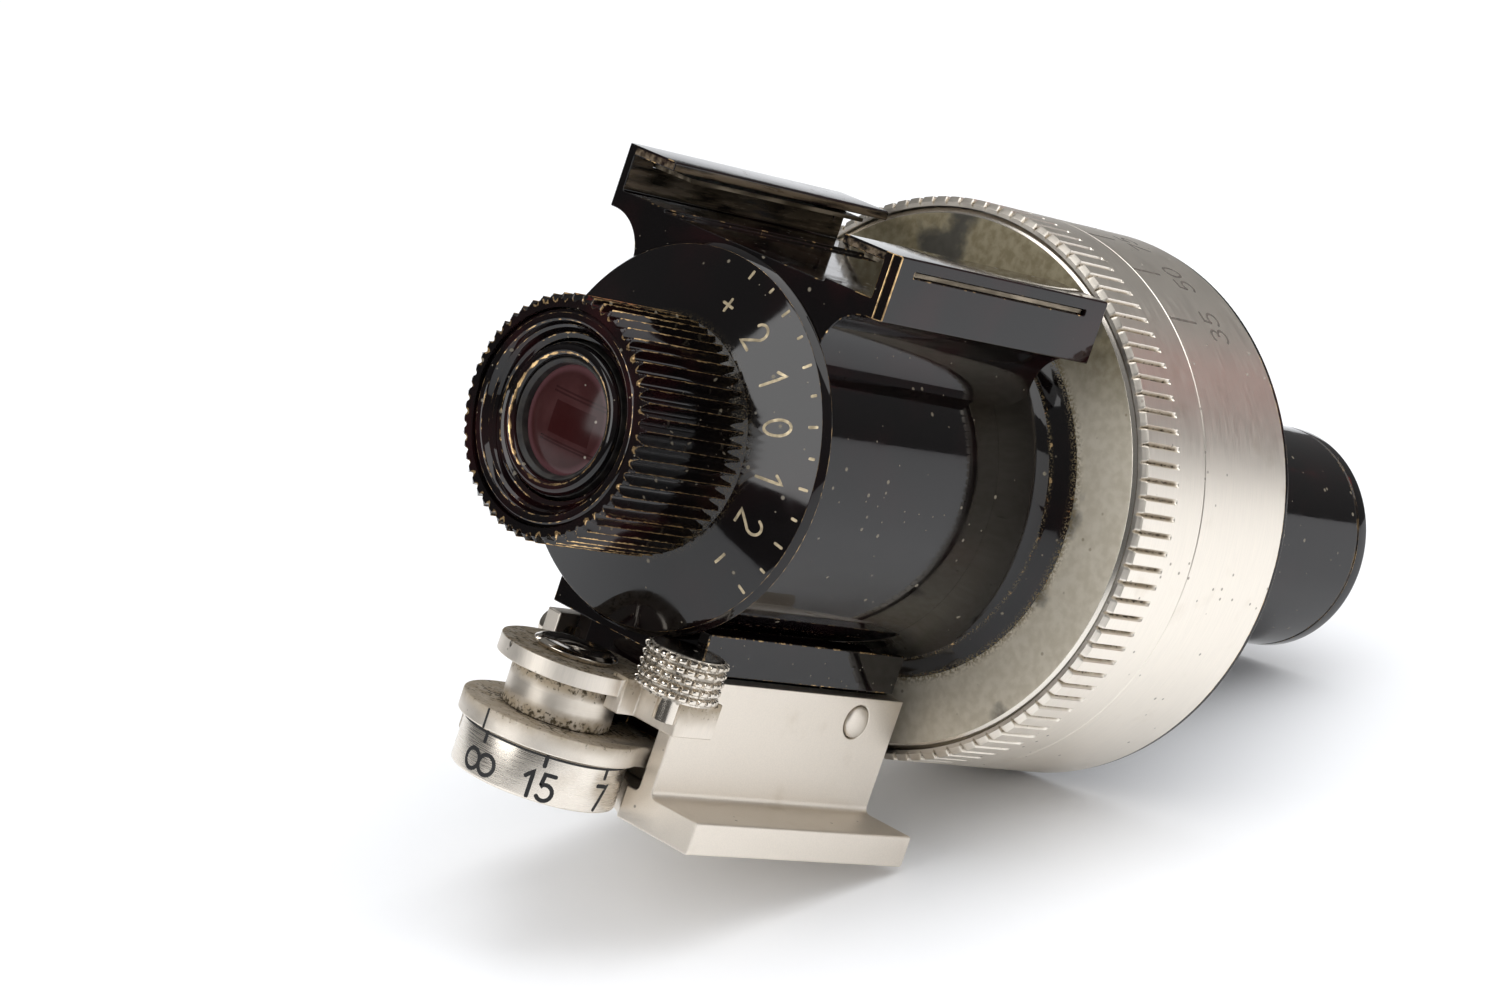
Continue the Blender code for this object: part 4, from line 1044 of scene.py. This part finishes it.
def make_foot(blasted):
    lo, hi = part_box("foot")
    flange = 1.87 * MM
    neck_out = high("hinge_pin").x - 0.25 * MM
    neck_in = neck_out - 1.02 * MM
    wide = hi.x
    right = [
        (wide, 0.0, 0.22 * MM),
        (wide, flange, 0.16 * MM),
        (neck_out, flange, 0.42 * MM),
        (neck_out, hi.z, 0.07 * MM),
        (neck_in, hi.z, 0.07 * MM),
        (neck_in, flange, 0.3 * MM),
    ]
    mesh = block_mesh("foot_frame", softened(right + mirrored(right), 0.0), "Y", lo.y, hi.y)
    item = add_piece("foot_frame", mesh, [blasted], "foot", ["foot"])
    room = rod_mesh("tool", "Z", -MM, high("distance_dial").z + MM, DIAL_RADIUS + 0.3 * MM, SPINDLE, 96)
    cut(item, room)
    pin = (0.0, *middle_of("hinge_pin")[1:])
    pin_radius = reach_of("hinge_pin", 2)
    cut(item, rod_mesh("tool", "X", -wide, wide, pin_radius + 0.07 * MM, pin))
    round_edges(item, 0.10 * MM, 3)

    bulge = 0.22 * MM
    dome = unworn(bow(high("hinge_pin").x - bulge, 0, bulge, pin_radius, 0, 90, 8))
    lathe("hinge_pin_domed", dome + mirrored(dome), blasted, "foot", ["hinge_pin"], "X", pin,
          segments=48, edge=None, even=False)


def make_base_block(black, worn):
    """The CAD block with its edges rounded over."""
    builder = bmesh.new()
    builder.from_mesh(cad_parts["base_block"].data)
    bmesh.ops.remove_doubles(builder, verts=builder.verts, dist=0.002 * MM)
    bmesh.ops.dissolve_limit(builder, angle_limit=math.radians(2), verts=builder.verts, edges=builder.edges)
    mesh = finish_mesh(builder, "base_block_detailed")
    mesh.materials.clear()
    item = add_piece("base_block_detailed", mesh, [black, worn], "finder", ["base_block"])
    round_edges(item, 0.06 * MM, 2)


# ---------------------------------------------------------------- distance dial and lever

def make_index_plate(blasted):
    lo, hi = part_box("index_plate")
    radius = SPINDLE[1] - lo.y
    half = 4.5 * MM
    start = math.degrees(math.acos(half / radius))
    outline = [(-half, hi.y), (half, hi.y)]
    outline += bow(0, SPINDLE[1], radius, radius, start, -180 - start, 72)
    plate_bottom = high("distance_dial").z + 0.13 * MM
    mesh = block_mesh("index_plate_disc", outline, "Z", plate_bottom, hi.z)
    item = add_piece("index_plate_disc", mesh, [blasted], "foot", ["index_plate"])
    drill(item, 1.6 * MM, SPINDLE, 2 * hi.z)
    drill(item, SCREW, middle_of("index_screw_1"), 2 * hi.z)
    drill(item, SCREW, middle_of("index_screw_2"), 2 * hi.z)
    drill(item, 0.58 * MM, (0.0, middle_of("lift_pin")[1]), 2 * hi.z)
    pedestal = rectangle(-half, half, -7.2 * MM, hi.y)
    join(item, block_mesh("tool", pedestal, "Z", lo.z, plate_bottom + 0.05 * MM))
    round_edges(item, 0.09 * MM, 3)
    paint_grime(item, lambda p: math.dist(p[:2], SPINDLE[:2]), 6.8 * MM, 3.0 * MM, hi.z - 0.12 * MM)
    rim = upright_surface(SPINDLE, radius, (plate_bottom + hi.z) / 2)
    tall = (hi.z - plate_bottom) / 2 - 0.06 * MM
    line = [(0.0, -tall), (0.0, tall)]
    engrave("index_line", [line], rim, 0.15 * MM, filled("index_ink", INK), "foot")


def paint_grime(item, distance, start, full, above):
    """Dirt that grows from start to full of a distance rule, on points above a height."""
    mesh = item.data
    layer = mesh.attributes.get("grime") or mesh.attributes.new("grime", "FLOAT", "POINT")
    for vertex in mesh.vertices:
        if vertex.co.z >= above:
            share = (start - distance(vertex.co)) / (start - full)
            layer.data[vertex.index].value = min(1.0, max(0.0, share))


def make_dial(turned):
    lo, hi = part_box("distance_dial")
    profile = [
        (lo.z, BORE),
        (lo.z, DIAL_RADIUS, 0.16 * MM),
        (hi.z, DIAL_RADIUS, 0.07 * MM),
        (hi.z, BORE),
    ]
    lathe("dial_drum", profile, turned, "lever", ["distance_dial"], "Z", SPINDLE, 160)
    # This ink fills the engraved numbers and ticks, and also paints the shadow line round the top of the
    # rim.
    ink = filled("dial_ink_and_painted_shadow", INK)
    middle = (lo.z + hi.z) / 2
    rim = upright_surface(SPINDLE, DIAL_RADIUS, middle)
    top = hi.z - middle - 0.08 * MM
    lines = []
    for text, degrees, tall in (("oo", 0, 1.15), ("15", 46, 1.42), ("7", 93, 1.36), ("5", 135, 1.36)):
        along = math.radians(degrees) * DIAL_RADIUS
        lines.append([(along, top - 0.55 * MM), (along, top)])
        lines += text_lines(text, tall * MM, along, -0.42 * MM)
    engrave("dial_numbers", lines, rim, 0.23 * MM, ink, "lever", proud=0.004 * MM)
    # A dark ink line round the top of the dial's rim: a painted shadow for the shade in the gap under the
    # index plate.
    shadow_ring = [(math.radians(degrees) * DIAL_RADIUS, top - 0.01 * MM) for degrees in range(-180, 181, 4)]
    engrave("dial_painted_shadow_line", [shadow_ring], rim, 0.13 * MM, ink, "lever", proud=0.003 * MM)

    spin_low, spin_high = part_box("spindle")
    hub = reach_of("spindle")
    shaft = BORE - 0.06 * MM
    plate_top = high("index_plate").z + 0.05 * MM
    hub_top = spin_high.z - 0.94 * MM
    core = [
        (spin_low.z, 0.0, 0.0),
        (spin_low.z, shaft),
        (plate_top, shaft, 0.0),
        (plate_top, hub, 0.06 * MM),
        (hub_top, hub, 0.05 * MM),
        (hub_top, shaft, 0.0),
        (spin_high.z, shaft, 0.03 * MM),
        (spin_high.z, 0.0, 0.0),
    ]

    def grubby(along, reach, wear, angle):
        ends = max(0.0, 1 - min(abs(along - plate_top), abs(hub_top - along)) / (0.9 * MM))
        return along, reach, wear, 0.25 + 0.6 * ends

    lathe("spindle_hub", core, turned, "lever", ["spindle"], "Z", SPINDLE, 96, grubby,
          edge=0.05 * MM, longest=0.2 * MM, even=False)


def make_lever(milled, shiny):
    lo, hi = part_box("lever_arm")
    head = SPINDLE[1] - lo.y
    head_top = high("lever_screw").z - 0.65 * MM
    head_low = head_top - 0.99 * MM
    profile = [(head_low, BORE), (head_low, head), (head_top, head), (head_top, BORE)]
    item = lathe("lever_plate", unworn(profile), milled, "lever", ["lever_arm"], "Z", SPINDLE,
                 120, edge=None, even=False)
    right, back = hi.x - 0.9 * MM, hi.y
    lug = [
        (3.2 * MM, back),
        (right, back),
        (right, back - 3.2 * MM),
        (4.5 * MM, back - 3.2 * MM),
        (4.4 * MM, back - 4.4 * MM),
        (3.3 * MM, back - 4.4 * MM),
    ]
    join(item, block_mesh("tool", lug, "Z", lo.z, hi.z))
    hub = reach_of("spindle") + 0.06 * MM
    cut(item, rod_mesh("tool", "Z", lo.z - MM, head_low, hub, SPINDLE, 72))
    nick = [(-1.3 * MM, lo.y - MM), (-0.75 * MM, lo.y - MM), (-1.0 * MM, lo.y + 0.38 * MM)]
    cut(item, block_mesh("tool", nick, "Z", head_top - 0.3 * MM, head_top + MM))
    round_edges(item, 0.07 * MM, 2)
    paint_grime(item, lambda p: 0.0, 0.6, -0.4, head_top - 0.03 * MM)

    screw_low = low("lever_screw").z
    radius = reach_of("lever_screw")
    seat = head_top + 0.05 * MM
    dome = [
        (screw_low, 0.0, 0.0),
        (screw_low, SCREW),
        (seat, SCREW, 0.0),
        (seat, radius - 0.15 * MM),
        (seat + 0.22 * MM, radius, 0.1 * MM),
        (seat + 0.42 * MM, radius - 0.35 * MM, 0.1 * MM),
        (seat + 0.36 * MM, radius * 0.55, 0.3 * MM),
        (seat + 0.24 * MM, 0.0, 0.0),
    ]
    item = lathe("lever_screw_head", dome, shiny, "lever", ["lever_screw"], "Z", SPINDLE, 96,
                 edge=0.03 * MM, even=False)
    slot = rectangle(-3 * MM, 3 * MM, SPINDLE[1] - 0.2 * MM, SPINDLE[1] + 0.2 * MM)
    slot = block_mesh("tool", slot, "Z", seat + 0.12 * MM, seat + 2 * MM)
    slot.transform(Matrix.Translation(Vector(SPINDLE)) @ Matrix.Rotation(math.radians(64), 4, "Z")
                   @ Matrix.Translation(-Vector(SPINDLE)))
    cut(item, slot)


def make_knob(shiny):
    """Knob with rows of small round-cornered beads, parted by smooth turned grooves."""
    lo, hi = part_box("lever_knob")
    base = high("lever_arm").z + 0.05 * MM
    outer = reach_of("lever_knob")
    pitch = (hi.z - base - 0.12 * MM) / KNOB_ROWS
    core = outer - 0.30 * MM

    def beaded(along, reach, wear, angle):
        if reach < core - 0.01 * MM:
            return along, reach, 0.0, 0.0
        row, across = divmod((along - base - 0.06 * MM) / pitch, 1.0)
        if not 0 <= row < KNOB_ROWS:
            return along, core, 0.0, 0.3
        phase = angle / TAU * KNOB_BEADS % 1.0
        up = 1 - (abs(across - 0.5) / 0.34) ** 4
        side = 1 - (abs(phase - 0.5) / 0.43) ** 4
        height = max(0.0, up) ** 0.45 * max(0.0, side) ** 0.45
        return along, core + (outer - core) * height, 0.0, 0.45 * (1 - height)

    profile = [(lo.z, 0.0), (lo.z, SCREW), (base, SCREW), (base, core - 0.1 * MM)]
    tall = hi.z - 0.06 * MM - base
    profile += [(base + tall * share, core) for share in shares(KNOB_ROWS * 10)]
    profile.append((hi.z - 0.02 * MM, core - 0.12 * MM))
    profile.append((hi.z - 0.06 * MM, core - 0.35 * MM))
    profile.append((hi.z - 0.10 * MM, core * 0.5))
    profile.append((hi.z - 0.12 * MM, 0.0))
    lathe("knob_beaded", unworn(profile), shiny, "lever", ["lever_knob"], "Z", KNOB,
          KNOB_BEADS * 10, beaded, edge=None, even=False)


def make_stop_screw(shiny):
    lo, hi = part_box("stop_screw")
    place = (0.0, *middle_of("stop_screw")[1:])
    radius = reach_of("stop_screw", 2)
    shank = 0.42 * MM
    seat = lo.x + 0.75 * MM
    head = bow(seat - 0.2 * MM, 0, -0.55 * MM, radius, 0, 90, 8)
    profile = unworn(head + [(seat, radius), (seat, shank), (hi.x, shank), (hi.x, 0.0)])
    lathe("stop_screw_domed", profile, shiny, "foot", ["stop_screw"], "X", place, 48,
          edge=None, even=False)


# ---------------------------------------------------------------- pieces that keep their CAD shape

def dress(nodes, material):
    for node in nodes:
        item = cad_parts[node]
        item.data.materials.clear()
        item.data.materials.append(material)


def dress_cad_pieces():
    dress(("shoe_spring_left", "shoe_spring_right"), tarnished_strip("spring_brass"))
    dress(("index_screw_1", "index_screw_2", "return_spring", "return_spring_screw", "lift_pin",
           "drive_screw"), steel("bright_steel"))
    dress(("objective_lens", "relay_lens", "field_lens", "erecting_prism_front", "erecting_prism_rear"),
          glass("coated_glass"))
    dress(("base_screw_1", "base_screw_2", "mask_housing", "mask_guide_plate", "cam_disc",
           "mask_blade_upper", "mask_blade_lower", "objective_retainer", "relay_retainer",
           "field_lens_retainer", "prism_holder", "eye_cell"),
          dull_black("chemical_black"))


# ---------------------------------------------------------------- studio and camera

CAMERA_PLACE = Vector((156.483, -190.532, 54.417)) * MM
CAMERA_RIGHT = Vector((0.69719, 0.64272, 0.31755))
CAMERA_UP = Vector((-0.33710, -0.09701, 0.93646))
CAMERA_LENS = 107.887
FLOOR_NORMAL = Vector((-0.1125, -0.3392, 0.9335)).normalized()
FLOOR_OFFSET = -4.56 * MM


def make_camera():
    data = bpy.data.cameras.new("camera")
    data.lens = CAMERA_LENS
    data.sensor_width = 36.0
    data.sensor_fit = "HORIZONTAL"
    data.clip_start = 0.01
    data.clip_end = 20.0
    camera = bpy.data.objects.new("camera", data)
    bpy.context.scene.collection.objects.link(camera)
    right = CAMERA_RIGHT.normalized()
    back = right.cross(CAMERA_UP).normalized()
    up = back.cross(right)
    turn = Matrix((right, up, back)).transposed()
    camera.matrix_world = Matrix.Translation(CAMERA_PLACE) @ turn.to_4x4()
    bpy.context.scene.camera = camera


def make_floor():
    """A tilted sheet that the object stands on. It can't be seen from below, and turns white far away."""
    half = 0.62
    builder = bmesh.new()
    side = FLOOR_NORMAL.cross(Vector((0, 1, 0))).normalized()
    other = FLOOR_NORMAL.cross(side)
    centre = FLOOR_NORMAL * FLOOR_OFFSET
    corners = rectangle(-half, half, -half, half)
    face = builder.faces.new([builder.verts.new(centre + side * x + other * y) for x, y in corners])
    face.normal_update()
    if face.normal.dot(FLOOR_NORMAL) < 0:
        face.normal_flip()
    mesh = bpy.data.meshes.new("studio_floor")
    builder.to_mesh(mesh)
    builder.free()
    floor = bpy.data.objects.new("studio_floor", mesh)
    bpy.context.scene.collection.objects.link(floor)
    f = Finish("floor_white")
    f.done(Base_Color=(0.90, 0.915, 0.94), Roughness=0.5)
    clear = f.make("ShaderNodeBsdfTransparent").outputs[0]
    side_seen = f.make("ShaderNodeNewGeometry").outputs["Backfacing"]
    away = f.make("ShaderNodeVectorMath", {0: f.where}, operation="LENGTH").outputs["Value"]
    far = f.times(f.ramp(away, 0.11, 0.26), f.make("ShaderNodeLightPath").outputs["Is Camera Ray"])
    glow = f.make("ShaderNodeEmission", {1: 1.05}).outputs[0]
    paper = f.make("ShaderNodeMixShader", {0: far, 1: f.shader.outputs[0], 2: glow}).outputs[0]
    both = f.make("ShaderNodeMixShader", {0: side_seen, 1: paper, 2: clear}).outputs[0]
    f.tree.links.new(both, f.tree.nodes["Material Output"].inputs["Surface"])
    mesh.materials.append(f.material)


def softbox(name, direction, distance, width, height, brightness, colour=(1, 1, 1)):
    """A rectangular light that faces the object, of an even brightness whatever its size."""
    data = bpy.data.lights.new(name, "AREA")
    data.shape = "RECTANGLE"
    data.size = width
    data.size_y = height
    data.color = colour
    data.energy = brightness * math.pi * width * height
    light = bpy.data.objects.new(name, data)
    towards = Vector(direction).normalized()
    light.location = Vector((0, 0.01, 0.015)) + towards * distance
    light.rotation_mode = "QUATERNION"
    light.rotation_quaternion = towards.to_track_quat("Z", "Y")
    bpy.context.scene.collection.objects.link(light)


def make_studio():
    """Soft lights, and a pale world that is darker in reflections than to the camera."""
    softbox("light_top", (0.05, -0.08, 1.0), 0.62, 0.95, 0.62, 2.15)
    softbox("light_eyepiece_side", (-0.14, -1.0, 0.14), 0.60, 0.33, 0.34, 3.6)
    softbox("light_right", (1.0, 0.30, 0.42), 0.75, 0.45, 0.35, 1.2)
    softbox("light_red", (0.28, 0.75, 0.59), 0.90, 0.50, 0.035, 0.9, (1.0, 0.04, 0.03))
    world = bpy.data.worlds.new("studio")
    world.use_nodes = True
    tree = world.node_tree
    background = tree.nodes["Background"]
    coords = tree.nodes.new("ShaderNodeTexCoord")
    parts = tree.nodes.new("ShaderNodeSeparateXYZ")
    tree.links.new(coords.outputs["Generated"], parts.inputs[0])
    height = tree.nodes.new("ShaderNodeMapRange")
    tree.links.new(parts.outputs[2], height.inputs[0])
    for socket, value in enumerate((-0.2, 1.0, 0.08, 0.24), 1):
        height.inputs[socket].default_value = value
    path = tree.nodes.new("ShaderNodeLightPath")
    strength = height.outputs[0]
    for ray, brightness in (("Is Diffuse Ray", 0.70), ("Is Camera Ray", 1.05)):
        choice = tree.nodes.new("ShaderNodeMix")
        tree.links.new(path.outputs[ray], choice.inputs[0])
        tree.links.new(strength, choice.inputs[2])
        choice.inputs[3].default_value = brightness
        strength = choice.outputs[0]
    tree.links.new(strength, background.inputs["Strength"])
    background.inputs["Color"].default_value = (1.0, 1.0, 1.0, 1.0)
    bpy.context.scene.world = world
    bpy.context.scene.view_settings.view_transform = "Standard"


# ---------------------------------------------------------------- build

def main():
    make_camera()
    make_floor()
    make_studio()

    black = lacquer("gloss_lacquer")
    worn = lacquer("edge_lacquer", 0.62)
    grip_black = lacquer("grip_lacquer", dust=0.14, tint=1.0)
    shoe_low, shoe_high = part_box("shoe_bracket")
    channel = (shoe_high.x - 0.88 * MM, shoe_high.z - 2.58 * MM, shoe_high.z - 0.10 * MM)
    corner = ((shoe_high.x, shoe_low.y, shoe_high.z - 1.8 * MM), 2.6 * MM)
    shoe_black = lacquer("shoe_lacquer", 0.0, dust=0.16, tint=0.8, smooth=0.05, channel=channel)
    shoe_worn = lacquer("shoe_edges", 0.52, rubbed_at=corner)
    ring_nickel = nickel("ring_nickel", (0.03, 1, 0.03), 0.05 * MM, 0.36, 0.0025 * MM, PALE_NICKEL)
    dial_nickel = nickel("dial_nickel", (0.03, 0.03, 1), 0.05 * MM, 0.27, 0.0025 * MM)
    blasted = nickel("blasted_nickel", (1, 1, 1), 0.07 * MM, rough=0.42, depth=0.010 * MM)
    milled = nickel("milled_nickel", (1, 1, 0.08), 0.07 * MM, rough=0.42)
    shiny = polished("polished_nickel")
    knob_shine = polished("knob_nickel", rough=0.12, haze=0.2)

    make_eyepiece(grip_black)
    make_eye_lens(grip_black)
    make_cover(black)
    make_barrel(black)
    make_shoe(shoe_black, shoe_worn)
    make_carrier(dusty_disc("dusty_nickel"))
    make_ring(ring_nickel)
    make_front(black)
    make_foot(blasted)
    make_base_block(lacquer("block_lacquer", 0.0), worn)
    make_index_plate(blasted)
    make_dial(dial_nickel)
    make_lever(milled, shiny)
    make_knob(knob_shine)
    make_stop_screw(shiny)
    dress_cad_pieces()


main()
